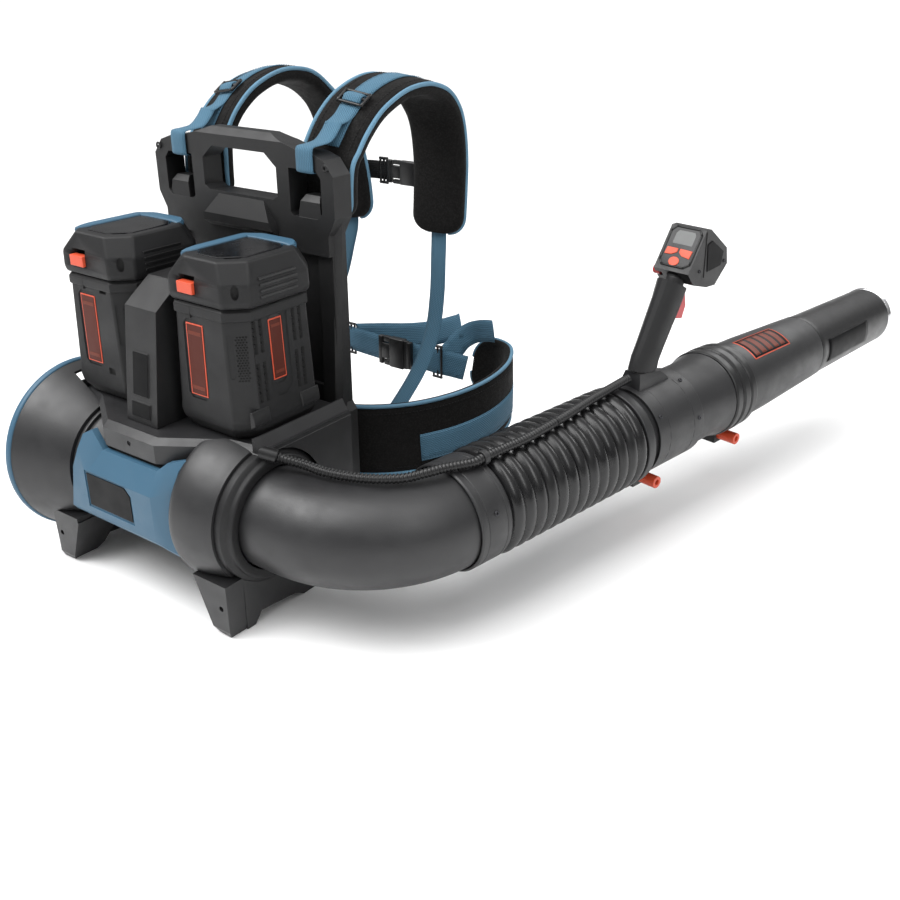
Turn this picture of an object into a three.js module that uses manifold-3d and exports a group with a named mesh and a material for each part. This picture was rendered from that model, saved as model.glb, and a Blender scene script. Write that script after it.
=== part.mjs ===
// Battery backpack leaf blower: axial fan housing on a two-skid stand, two
// upright battery packs, a moulded back frame with carry handle, a padded
// harness and a swivelling blow tube with a control handle.
// Millimetres, +Z up, the wearer faces +Y and the blow tube is on the wearer's
// right (+X). The model is laid out in "machine" coordinates (fan axis along X
// through y = AXIS_Y, z = AXIS_Z, floor at z = 0) and the whole group is then
// moved by ORIGIN_Y so the origin is the centre of the rear stand bar's sole.
import * as THREE from "three";
import { mergeVertices } from "three/addons/utils/BufferGeometryUtils.js";
import Module from "manifold-3d";

const wasm = await Module();
wasm.setup();

// ---------------------------------------------------------------- dimensions
const ORIGIN_Y = -240; // machine y of the part origin, sign reversed
const AXIS_Y = 74; // fan axis
const AXIS_Z = 129;
const DUCT_R = 66; // inside of the fan duct
const HOUSING_R = 71; // outside of the middle housing
const RING_R = 115; // inlet rim
const COLLAR_R = 80; // outlet collar
const ELBOW_R = 61; // outside of the elbow
const ELBOW_BEND = 131.6; // bend radius of the elbow
const WALL = 2.6; // wall of the blow tube parts
const TUBE_AZ = 11.2; // tube heading, degrees from +Y towards +X
const TUBE_EL = 1.8; // tube elevation, degrees
const BELLOWS_START = 44; // stations along the tube axis from the elbow's end
const BELLOWS_END = 300;
const BELLOWS_RIBS = 13;
const COUPLING_END = 548;
const NOZZLE_SEAM = 742;
const NOZZLE_END = 970;
const STAND_X = 160; // outer face of each skid
const BATT_X = 94; // battery centre distance from the mid-plane
const BATT_Y = 121; // battery centre
const BATT_Z0 = 217; // battery underside
const BATT_SPLIT = 370; // lid joint
const BATT_TOP = 420;
const TRAY_TOP = 216.4;
const FRAME_FRONT = 215; // front of the uprights at their foot
const FRAME_BACK = 243;
const FRAME_TOP = 527;
const STRAP_X = 107; // shoulder strap centre distance from the mid-plane
const STRAP_W = 74;
const STRAP_T = 21;
const WEB_T = 2; // webbing thickness
const GAP = 0.35; // clearance between touching pieces

// ------------------------------------------------------------------ materials
const mat = (hex, roughness, metalness = 0) =>
  new THREE.MeshStandardMaterial({ color: hex, roughness, metalness });
const M = {
  charcoal: mat(0x2b2b2c, 0.55),
  charcoal_soft: mat(0x303032, 0.7),
  blue: mat(0x4a7692, 0.45),
  orange: mat(0xf0552f, 0.4),
  red: mat(0xc93a33, 0.45),
  black_gloss: mat(0x101113, 0.15),
  plate: mat(0x1b1b1d, 0.5),
  rubber: mat(0x1d1d1e, 0.85),
  fabric: mat(0x17171a, 0.95),
  webbing: mat(0x4f83a3, 0.9),
  web_black: mat(0x121214, 0.9),
  steel: mat(0xc9ccd0, 0.22, 1.0),
  motor: mat(0x8b8f94, 0.35, 0.9),
  board: mat(0x1f4a33, 0.5),
};

// -------------------------------------------------------------------- helpers
const V = (x, y, z) => new THREE.Vector3(x, y, z);
const rad = (d) => (d * Math.PI) / 180;

function solid(geometry) {
  const g = geometry.clone();
  for (const a of Object.keys(g.attributes))
    if (a !== "position") g.deleteAttribute(a);
  const m = mergeVertices(g, 1e-4);
  const src = m.index.array;
  let tri = [];
  for (let i = 0; i < src.length; i += 3) {
    const [a, b, c] = [src[i], src[i + 1], src[i + 2]];
    if (a !== b && b !== c && a !== c) tri.push(a, b, c);
  }
  const make = (t) =>
    new wasm.Manifold(
      new wasm.Mesh({
        numProp: 3,
        vertProperties: new Float32Array(m.attributes.position.array),
        triVerts: new Uint32Array(t),
      }),
    );
  let s = make(tri);
  if (s.volume() < 0) {
    const flipped = [];
    for (let i = 0; i < tri.length; i += 3)
      flipped.push(tri[i], tri[i + 2], tri[i + 1]);
    s = make(flipped);
  }
  return s;
}

function geometryOf(s) {
  const m = s.getMesh();
  const g = new THREE.BufferGeometry();
  g.setAttribute(
    "position",
    new THREE.BufferAttribute(new Float32Array(m.vertProperties), 3),
  );
  g.setIndex(new THREE.BufferAttribute(new Uint32Array(m.triVerts), 1));
  g.computeVertexNormals();
  return g;
}

// The largest body of a solid, without slivers left by a cut.
const main = (s) =>
  s.decompose().reduce((a, b) => (b.volume() > a.volume() ? b : a));
const add = (...s) => s.reduce((a, b) => a.add(b));
const cut = (s, ...t) => t.reduce((a, b) => a.subtract(b), s);

// A closed body through a list of rings with equal point counts.
function loft(rings) {
  const n = rings[0].length;
  const pos = [];
  for (const r of rings) for (const p of r) pos.push(p.x, p.y, p.z);
  const idx = [];
  for (let i = 0; i + 1 < rings.length; i++)
    for (let j = 0; j < n; j++) {
      const a = i * n + j,
        b = i * n + ((j + 1) % n),
        c = a + n,
        d = b + n;
      idx.push(a, b, d, a, d, c);
    }
  const cap = (k, flip) => {
    const c = rings[k].reduce((s, p) => s.add(p), V(0, 0, 0)).divideScalar(n);
    pos.push(c.x, c.y, c.z);
    const ci = pos.length / 3 - 1;
    for (let j = 0; j < n; j++) {
      const a = k * n + j,
        b = k * n + ((j + 1) % n);
      if (flip) idx.push(ci, b, a);
      else idx.push(ci, a, b);
    }
  };
  cap(0, true);
  cap(rings.length - 1, false);
  const g = new THREE.BufferGeometry();
  g.setAttribute("position", new THREE.Float32BufferAttribute(pos, 3));
  g.setIndex(idx);
  return solid(g);
}

const box = (x0, x1, y0, y1, z0, z1) =>
  solid(
    new THREE.BoxGeometry(x1 - x0, y1 - y0, z1 - z0).translate(
      (x0 + x1) / 2,
      (y0 + y1) / 2,
      (z0 + z1) / 2,
    ),
  );

function prism(points, depth, columns, shift) {
  const g = new THREE.ExtrudeGeometry(
    new THREE.Shape(points.map((p) => new THREE.Vector2(p[0], p[1]))),
    { depth, bevelEnabled: false, curveSegments: 8 },
  );
  g.applyMatrix4(new THREE.Matrix4().makeBasis(...columns));
  g.translate(...shift);
  return solid(g);
}
const prismYZ = (p, x0, x1) =>
  prism(p, x1 - x0, [V(0, 1, 0), V(0, 0, 1), V(1, 0, 0)], [x0, 0, 0]);
const prismXZ = (p, y0, y1) =>
  prism(p, y1 - y0, [V(1, 0, 0), V(0, 0, 1), V(0, 1, 0)], [0, y0, 0]);
const prismXY = (p, z0, z1) =>
  prism(p, z1 - z0, [V(1, 0, 0), V(0, 1, 0), V(0, 0, 1)], [0, 0, z0]);

// Revolved solids: profile points are [station, radius].
function lathe(profile, segments) {
  return new THREE.LatheGeometry(
    profile.map((p) => new THREE.Vector2(p[1], p[0])),
    segments,
  );
}
const latheX = (profile, segments = 26, y = AXIS_Y, z = AXIS_Z) =>
  solid(lathe(profile, segments).rotateZ(-Math.PI / 2).translate(0, y, z));
const closeProfile = (p) => [...p, p[0]];
const discX = (x0, x1, r, segments = 26, y = AXIS_Y, z = AXIS_Z) =>
  latheX([[x0, 0], [x0, r], [x1, r], [x1, 0]], segments, y, z);
const ringX = (x0, x1, ri, ro, segments = 20, y = AXIS_Y, z = AXIS_Z) =>
  latheX(closeProfile([[x0, ri], [x0, ro], [x1, ro], [x1, ri]]), segments, y, z);
// The same along +Y, used inside the blow tube's own group.
const latheY = (profile, segments = 24) => solid(lathe(profile, segments));
const ringY = (s0, s1, ri, ro, segments = 24) =>
  latheY(closeProfile([[s0, ri], [s0, ro], [s1, ro], [s1, ri]]), segments);
const cylAlong = (from, to, r, segments = 20) => {
  const d = to.clone().sub(from);
  const g = new THREE.CylinderGeometry(r, r, d.length(), segments);
  g.applyQuaternion(
    new THREE.Quaternion().setFromUnitVectors(V(0, 1, 0), d.clone().normalize()),
  );
  const c = from.clone().add(to).multiplyScalar(0.5);
  return solid(g.translate(c.x, c.y, c.z));
};

// Round pipe along explicit centres and tangents.
function pipe(path, r, segments = 36) {
  return loft(
    path.map(({ c, t }) => {
      const side = V(0, 0, 1).cross(t).normalize();
      const up = t.clone().cross(side).normalize();
      return Array.from({ length: segments }, (_, k) => {
        const a = (2 * Math.PI * k) / segments;
        return c
          .clone()
          .addScaledVector(side, r * Math.cos(a))
          .addScaledVector(up, r * Math.sin(a));
      });
    }),
  );
}

// Band with a rectangular section along a path; each entry is
// [x, y, z, width, thickness, sx, sy, sz] where s is the width direction.
function band(entries, cornered = 0) {
  const pts = entries.map((e) => V(e[0], e[1], e[2]));
  return loft(
    entries.map((e, i) => {
      const t = pts[Math.min(i + 1, pts.length - 1)]
        .clone()
        .sub(pts[Math.max(i - 1, 0)])
        .normalize();
      const s = V(e[5], e[6], e[7]);
      s.addScaledVector(t, -s.dot(t)).normalize();
      const n = s.clone().cross(t).normalize();
      const w = e[3] / 2,
        h = e[4] / 2;
      const k = cornered * Math.min(w, h);
      const q = cornered
        ? [[-w, -h + k], [-w + k, -h], [w - k, -h], [w, -h + k], [w, h - k], [w - k, h], [-w + k, h], [-w, h - k]]
        : [[-w, -h], [w, -h], [w, h], [-w, h]];
      return q.map(([a, b]) =>
        pts[i].clone().addScaledVector(s, a).addScaledVector(n, b),
      );
    }),
  );
}

// Rectangle ring in a horizontal plane with its own chamfer at each corner:
// rear-left, rear-right, front-right, front-left as the wearer faces.
const chamfered = (cx, cy, hx, hy, [a, b, c, d], z) =>
  [
    [-hx, -hy + a], [-hx + a, -hy], [hx - b, -hy], [hx, -hy + b],
    [hx, hy - c], [hx - c, hy], [-hx + d, hy], [-hx, hy - d],
  ].map(([x, y]) => V(cx + x, cy + y, z));

function cord(points, r, steps, sides = 10) {
  const shape = new THREE.Shape(
    Array.from({ length: sides }, (_, k) => {
      const a = (2 * Math.PI * k) / sides;
      return new THREE.Vector2(r * Math.cos(a), r * Math.sin(a));
    }),
  );
  const curve = new THREE.CatmullRomCurve3(
    points.map((p) => V(...p)),
    false,
    "centripetal",
  );
  return solid(
    new THREE.ExtrudeGeometry(shape, {
      steps,
      extrudePath: curve,
      bevelEnabled: false,
    }),
  );
}

const root = new THREE.Group();
const machine = new THREE.Group();
machine.position.y = ORIGIN_Y;
root.add(machine);

function piece(parent, name, s, material) {
  const m = new THREE.Mesh(geometryOf(s), material);
  m.name = name;
  parent.add(m);
  return m;
}
const mirrorX = (s) => s.mirror([1, 0, 0]);

// =============================================================== fan housing
// Trumpet-shaped inlet bell, cut away where the battery deck crosses it.
const bellOuter = [
  [-182, 112.5], [-172, 109], [-158, 103], [-140, 95.5], [-122, 87], [-109, 80],
];
// Footprint of the battery deck, from above; grow widens it on every side.
const deckFootprint = (grow) => [
  [-45 - grow * 0.5, 8 - grow], [45 + grow * 0.5, 8 - grow], [116, 55 - grow], [166 + grow, 60 - grow], [166 + grow, 208 + grow],
  [-166 - grow, 208 + grow], [-166 - grow, 60 - grow], [-116, 55 - grow],
];
const deckClearance = prismXY(deckFootprint(GAP), 203, 330);
let inletBell = latheX(
  closeProfile([...bellOuter, [-109, HOUSING_R - 4], [-120, 80], [-140, 92], [-158, 99.6], [-172, 105.6], [-182, 109]]),
  30,
);
inletBell = cut(inletBell, deckClearance);
piece(machine, "inlet_bell", inletBell, M.charcoal);

// Rolled blue rim around the mouth.
piece(
  machine,
  "inlet_rim_ring",
  latheX(
    closeProfile([
      [-182 - GAP, 105], [-182 - GAP, 113.6], [-185, RING_R], [-190, RING_R],
      [-193, 112.5], [-193, 107], [-190, 104.4],
    ]),
    30,
  ),
  M.blue,
);

// Safety grille: three rings and eight spokes around a centre disc.
let guard = discX(-188.5, -185.5, 17, 24);
for (const r of [46, 74, 102.6])
  guard = guard.add(ringX(-188.5, -185.5, r - 2.4, r, 18));
for (let k = 0; k < 8; k++) {
  const a = (Math.PI * 2 * (k + 0.5)) / 8;
  guard = guard.add(
    cylAlong(
      V(-187, AXIS_Y + 12 * Math.cos(a), AXIS_Z + 12 * Math.sin(a)),
      V(-187, AXIS_Y + 101.5 * Math.cos(a), AXIS_Z + 101.5 * Math.sin(a)),
      1.4,
      4,
    ),
  );
}
piece(machine, "inlet_guard", guard, M.charcoal);

// Straight duct around the fan, with a flange at each end.
let fanHousing = latheX(
  closeProfile([
    [-109 + GAP, DUCT_R], [-109 + GAP, 76], [-103, 76], [-103, HOUSING_R],
    [64, HOUSING_R], [64, 74], [70 - GAP, 74], [70 - GAP, DUCT_R],
  ]),
  30,
);
fanHousing = cut(fanHousing, deckClearance);
piece(machine, "fan_housing", fanHousing, M.charcoal);

const bellClear = latheX(
  [[-200, 0], [-200, RING_R + 1], [-183, RING_R + 0.5], ...bellOuter.map(([x, r]) => [x, r + GAP]), [-108, 80 + GAP], [-102.6, 76 + GAP], [-102.6, HOUSING_R + 1], [63.6, HOUSING_R + 1], [63.6, 74 + GAP], [69, 75], [77 - GAP, 78.6], [84 - GAP, 87.6], [91, 93 + GAP * 1.4], [100, 94.4 + GAP], [120, 92.6 + GAP], [140, 88 + GAP], [150 + GAP, 84.6 + GAP], [150.2 + GAP, COLLAR_R + 1 + GAP], [175, COLLAR_R + 1 + GAP], [175, 0]],
  30,
);
const bellClearLow = bellClear.subtract(prismXY(deckFootprint(3), 203 + GAP, 330).intersect(box(-300, 149.9, -40, 260, 190, 340)));

// Faceted blue cover on the rear face of the housing, with a badge recess.
const coverRing = (x, yf, zLow, zMid, yTop, zTop, yi) => [
  V(x, yf + 5, zLow), V(x, yf, zLow + 7), V(x, yf, zMid), V(x, yTop, zTop),
  V(x, yTop + 8, zTop), V(x, yi + 6, zMid + 4), V(x, yi, zMid - 8), V(x, yi, zLow),
];
let cover = loft([
  coverRing(-108.5, -9, 86, 150, 6, 178, 1),
  coverRing(-66, -10, 86, 151, 6, 201, 1),
  coverRing(-47, -10, 86, 151, 4, 180, 1),
  coverRing(50, -10, 86, 152, 4, 180, 1),
  coverRing(66, -5, 79, 158, 8, 193, 6),
  coverRing(99, 7, 65, 166, 16, 203, 17),
]);
cover = cut(
  cover,
  prismXZ([[-72, 103], [14, 103], [14, 141], [3, 152], [-72, 152]], -20, -8.4),
  bellClear,
  prismXZ([[-84, 215], [-84, 200], [-95, 146], [-111, 82], [-130, 82], [-130, 215]], -30, 30),
);
piece(machine, "housing_cover", main(cover), M.blue);

// Outlet bell: wide at the cover, drawing in to the outlet collar.
let outletBell = latheX(
  closeProfile([
    [70, DUCT_R], [70, 73], [77, 78], [84, 87], [91, 93], [100, 94.4], [120, 92.6], [140, 88], [150, 84.5],
    [150, ELBOW_R + 3], [120, ELBOW_R + 3.4],
  ]),
  30,
);
outletBell = cut(outletBell, deckClearance);
piece(machine, "outlet_bell", outletBell, M.charcoal);

// Swivel collar that the elbow turns in.
piece(
  machine,
  "outlet_collar",
  latheX(
    closeProfile([
      [150 + GAP, ELBOW_R + 2], [150 + GAP, COLLAR_R + 1], [160, COLLAR_R + 1], [162, COLLAR_R - 1],
      [164, COLLAR_R - 5], [169, COLLAR_R - 6], [170, COLLAR_R - 8], [170, ELBOW_R + 2],
    ]),
    30,
  ),
  M.charcoal_soft,
);

// ======================================================================= fan
// Rotor: hub and seven pitched blades on the motor shaft, inside the duct.
let impeller = latheX([[-66, 0], [-64, 12], [-56, 22], [-44, 27], [-16, 28], [-16, 0]], 28);
for (let k = 0; k < 7; k++) {
  const a = (2 * Math.PI * k) / 7;
  const bladeRing = (r, pitch, chord) => {
    const radial = V(0, Math.cos(a), Math.sin(a));
    const tang = V(0, -Math.sin(a), Math.cos(a));
    const c = V(-30, AXIS_Y, AXIS_Z).addScaledVector(radial, r);
    const along = V(Math.cos(pitch), 0, 0).addScaledVector(tang, Math.sin(pitch));
    const nrm = V(-Math.sin(pitch), 0, 0).addScaledVector(tang, Math.cos(pitch));
    return [[-chord / 2, -1], [chord / 2, -1], [chord / 2, 1], [-chord / 2, 1]].map(
      ([u, v]) => c.clone().addScaledVector(along, u).addScaledVector(nrm, v),
    );
  };
  impeller = impeller.add(
    loft([bladeRing(24, 0.45, 22), bladeRing(44, 0.75, 24), bladeRing(63.5, 0.98, 24)]),
  );
}
impeller = cut(impeller, discX(-52, 0, 4 + GAP, 16));
piece(machine, "impeller", impeller, M.charcoal_soft);
piece(machine, "motor_shaft", discX(-51, -10 + 20, 4, 16), M.steel);

// Brushless motor carried in the flow straightener's hub.
const motor = cut(
  latheX([[-8, 0], [-8, 20], [-5, 24.5], [44, 24.5], [48, 20], [48, 0]], 32),
  discX(-20, 11, 4 + GAP, 16),
);
piece(machine, "motor", motor, M.motor);
let straightener = latheX(
  closeProfile([[-12, 10], [-12, 28], [50, 28], [62, 18], [74, 6], [74, 3], [60, 14], [49, 24.5 + GAP], [-6, 24.5 + GAP], [-9, 20.5 + GAP], [-9, 10]]),
  32,
);
for (let k = 0; k < 6; k++) {
  const a = (2 * Math.PI * (k + 0.25)) / 6;
  const ringAt = (x, lean) => {
    const radial = V(0, Math.cos(a + lean), Math.sin(a + lean));
    const tang = V(0, -Math.sin(a + lean), Math.cos(a + lean));
    return [[26.5, -1.2], [DUCT_R - GAP, -1.2], [DUCT_R - GAP, 1.2], [26.5, 1.2]].map(([r, t]) =>
      V(x, AXIS_Y, AXIS_Z).addScaledVector(radial, Math.sqrt(Math.max(r * r - t * t, 0))).addScaledVector(tang, t),
    );
  };
  straightener = straightener.add(loft([ringAt(-6, -0.12), ringAt(14, 0), ringAt(46, 0)]));
}
piece(machine, "flow_straightener", straightener, M.charcoal_soft);

// ===================================================================== stand
// Two skids joined by a rear bar; each front foot is splayed and bevelled.
const footBlock = loft([
  [V(138, -2, 0), V(157, -3, 0), V(158, 33, 0), V(138, 33, 0)],
  [V(131, -6, 8), V(159, -6, 8), V(STAND_X, 40, 8), V(132, 40, 8)],
  [V(106, -7, 70), V(STAND_X, -7, 70), V(STAND_X, 74, 70), V(106, 74, 70)],
]);
const skid = prismYZ(
  [[20, 0], [33, 0], [44, 14], [100, 8], [114, 0], [252, 0], [252, 46], [200, 60], [74, 72], [20, 72]],
  140,
  STAND_X,
);
const coverClear = box(-110, 100, -30, 30, 64, 208);
let stand = add(
  footBlock,
  skid,
  mirrorX(footBlock),
  mirrorX(skid),
  box(-150, 150, 228, 252, 0, 24),
);
stand = cut(
  stand,
  bellClear,
  coverClear,
  cylAlong(V(149, -12, 38), V(149, -2, 38), 3.6, 12),
  cylAlong(V(-149, -12, 38), V(-149, -2, 38), 3.6, 12),
);
piece(machine, "stand", stand, M.charcoal);

// ================================================================ battery deck
// Deck under the batteries with a faceted front lip and side rails.
const deckOutline = (s, z) =>
  [
    [-45, 8 + s], [45, 8 + s], [116, 55 + s * 0.8], [166 - s, 60 + s], [166 - s, 208], [-166 + s, 208],
    [-166 + s, 60 + s], [-116, 55 + s * 0.8],
  ].map(([x, y]) => V(x, y, z));
let deck = loft([
  deckOutline(9, 181), deckOutline(0, 186), deckOutline(0, 209), deckOutline(8, TRAY_TOP),
]);
// Side rails rise outside the batteries, with a broad chamfer.
const rail = prismXZ(
  [[151, 190], [166, 190], [166, 206], [153.5, 227], [151.2, 227], [151.2, 212]],
  60,
  208,
);
const sidePanel = prismYZ([[120, 110], [208, 90], [208, 214], [60, 214], [60, 190]], 153, 165.6);
deck = add(deck, rail, mirrorX(rail), sidePanel, mirrorX(sidePanel));
deck = cut(
  deck,
  bellClearLow,
  box(-44, 44, -30, 14, 100, 181.2),
  cylAlong(V(0, 0, 200), V(0, 14, 200), 3.2, 12),
  cylAlong(V(114, 40, 199), V(119, 62, 199), 3.2, 12),
  cylAlong(V(-114, 40, 199), V(-119, 62, 199), 3.2, 12),
);
piece(machine, "battery_deck", main(deck), M.charcoal);

// Control tower between the batteries: a hollow shell open at the bottom.
const towerProfile = [
  [30, TRAY_TOP + GAP], [48, 352], [60, 361], [86, 379], [196, 382], [196, TRAY_TOP + GAP],
];
let tower = prismYZ(towerProfile, -27, 27);
tower = cut(
  tower,
  prismYZ([[35, 200], [53, 350], [90, 375], [192, 378], [192, 200]], -23.5, 23.5),
  prismYZ([[20, 330], [60, 380], [20, 390]], 20, 40),
  prismYZ([[20, 330], [60, 380], [20, 390]], -40, -20),
);
// Plain raised plates on the sloping rear face.
const plateOn = (z0, z1, x0, x1) =>
  loft(
    [0.4, -1].map((d) =>
      [[x0, z0], [x1, z0], [x1, z1], [x0, z1]].map(([x, z]) => V(x, 30 + ((z - TRAY_TOP - GAP) * 18) / (352 - TRAY_TOP - GAP) + d, z)),
    ),
  );
tower = add(tower, plateOn(250, 302, -13, 13), plateOn(224, 243, -16, 16));
piece(machine, "control_tower", tower, M.charcoal);
piece(machine, "controller_board", box(-20, 20, 110, 112, 230, 340), M.board);

// ================================================================== batteries
for (const [side, sx] of [["right", 1], ["left", -1]]) {
  const cx = sx * BATT_X;
  const c = (hx, hy, ch, z) => chamfered(cx, BATT_Y, hx, hy, ch, z);
  const k = [7, 22, 20, 12];
  const shell = loft([
    c(46, 56, [10, 20, 18, 12], BATT_Z0), c(55.5, 64.5, k, BATT_Z0 + 14), c(57, 66, k, BATT_Z0 + 24),
    c(56, 65.5, k, BATT_Z0 + 31), c(50.5, 62.5, k, BATT_SPLIT - GAP),
  ]);
  piece(machine, `battery_${side}_case`, shell, M.charcoal_soft);
  let lid = loft([
    c(54, 64, k, BATT_SPLIT), c(56, 66, k, BATT_SPLIT + 6), c(55.5, 65.5, k, 396),
    c(46, 58, [18, 24, 22, 18], BATT_TOP),
  ]);
  // Sunk centre of the lid and the slot of the latch.
  lid = cut(
    lid,
    loft([c(31, 42, [10, 10, 10, 10], BATT_TOP - 5), c(33, 44, [10, 10, 10, 10], BATT_TOP + 3)]),
    box(cx - 31, cx - 6, 50, 68, 381.2, 397),
  );
  piece(machine, `battery_${side}_lid`, lid, M.charcoal);
  // Blue carry bail along the left and front-facing edges of the lid.
  const bail = band(
    [
      [cx - 38.5, 72, BATT_TOP + GAP + 1.6, 9, 3], [cx - 38.5, 80, BATT_TOP + 3, 9, 3], [cx - 38.5, 148, BATT_TOP + 3, 9, 3],
      [cx - 31, 166, BATT_TOP + 3, 9, 3], [cx - 16, 173, BATT_TOP + 3, 9, 3], [cx + 24, 173, BATT_TOP + 3, 9, 3],
      [cx + 34, 170, BATT_TOP + GAP + 1.6, 9, 3],
    ].map((e, i) => [...e, i < 3 ? 1 : i === 3 ? 0.7 : i === 4 ? 0.3 : 0.02, i < 3 ? 0 : i === 3 ? -0.7 : -1, 0]),
    0.5,
  );
  piece(machine, `battery_${side}_handle`, bail, M.blue);
  piece(
    machine,
    `battery_${side}_latch`,
    box(cx - 30.6, cx - 6.4, 51.5, 62, 381.6, 394.4),
    M.orange,
  );
}

// ================================================================== back frame
// One moulding: back plate, two uprights, carry handle and strap loops.
const frameHalf = [
  [0, FRAME_TOP], [50, FRAME_TOP], [64, 522], [95, 513], [118, 511], [136, 505], [150, 488], [150, 441], [139, 420],
  [139, 210], [146, 200], [146, 30], [138, 24 + GAP],
];
const frameOutline = [
  ...frameHalf,
  ...frameHalf.slice(1).reverse().map(([x, z]) => [-x, z]),
];
let frame = prismXZ(frameOutline, 219, FRAME_BACK);
frame = add(frame, prismXZ(frameOutline, 213.5, 225).intersect(box(-200, 200, 200, 230, 396, 600)));
const upright = loft([
  [V(117, 208.6, 60), V(136, 208.6, 60), V(141, 216, 60), V(141, 230, 60), V(117, 230, 60)],
  [V(117, FRAME_FRONT - 1, 205), V(136, FRAME_FRONT - 1, 205), V(141, 222, 205), V(141, 230, 205), V(117, 230, 205)],
  [V(118, 224, 440), V(138, 224, 440), V(146, 230, 440), V(146, 234, 440), V(118, 234, 440)],
  [V(120, 226, 486), V(138, 226, 486), V(146, 230, 486), V(146, 234, 486), V(120, 234, 486)],
]);
const bump = loft([
  [V(-58, 221, 404), V(58, 221, 404), V(58, 223, 404), V(-58, 223, 404)],
  [V(-58, 203, 417), V(58, 203, 417), V(58, 223, 417), V(-58, 223, 417)],
  [V(-55, 202, 427), V(55, 202, 427), V(55, 223, 427), V(-55, 223, 427)],
  [V(-38, 213, 449), V(38, 213, 449), V(38, 223, 449), V(-38, 223, 449)],
]);
frame = add(frame, upright, mirrorX(upright), bump);
const stop = loft([
  [V(93, 214, 437), V(129, 214, 437), V(129, 240, 437), V(93, 240, 437)],
  [V(96, 216, 456), V(126, 216, 456), V(126, 238, 456), V(96, 238, 456)],
  [V(100, 222, 463), V(122, 222, 463), V(122, 236, 463), V(100, 236, 463)],
]);
const mount = box(-120, 120, 200, 220, 150, 200);
frame = add(frame, mount);
// Openings: carry handle and a strap loop window on each side.
frame = cut(
  frame,
  prismXZ([[-62, 457], [-54, 452.5], [54, 452.5], [62, 457], [62, 490], [44, 505], [-44, 505], [-62, 490]], 200, 260),
  ...[1, -1].map((s) => {
    const w = prismXZ([[82, 442], [86, 438], [124, 438], [131, 445], [131, 484], [124, 492], [82, 492]], 200, 260);
    return s > 0 ? w : mirrorX(w);
  }),
  // sunk panel between the uprights, and the bevels of the handle bar
  box(-116, 116, 200, 224.5, 232, 396),
  prismYZ([[213.5 - 1, FRAME_TOP - 9], [213.5 - 1, FRAME_TOP + 1], [222, FRAME_TOP + 1]], -160, 160),
  prismYZ([[FRAME_BACK + 1, FRAME_TOP - 9], [FRAME_BACK + 1, FRAME_TOP + 1], [FRAME_BACK - 8, FRAME_TOP + 1]], -160, 160),
  bellClear,
  box(-167, 167, 190, 208 + GAP, 80, 230),
  stand,
);
frame = add(frame, stop, mirrorX(stop));
frame = cut(frame, box(-300, 300, 252.2, 300, 0, 600));
piece(machine, "back_frame", cut(frame, box(-130, 130, 190, 260, 0, 24 + GAP)), M.charcoal);

// Foam pad on the wearer's side.
piece(
  machine,
  "back_pad",
  loft(
    [[244.2, 0], [252, 4], [258, 12]].map(([y, k]) =>
      [
        [-88 + k, 215], [-88 + k, 400 - k], [-70, 425 - k], [70, 425 - k], [88 - k, 400 - k], [88 - k, 215],
      ].map(([x, z]) => V(x, y, z + (z < 300 ? k : 0))),
    ),
  ),
  M.fabric,
);

// ==================================================================== harness
// Shoulder pads: moulded arches from the strap loops over to the chest.
const strapPath = [
  [255.4, 432], [255.6, 466], [259, 495], [268, 511], [285.5, 531.5], [312, 551.5], [349.5, 566], [382, 570], [412, 565.5],
  [440, 549], [461, 520.5], [469.5, 474.5], [468.5, 424], [464.5, 374],
];
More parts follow.
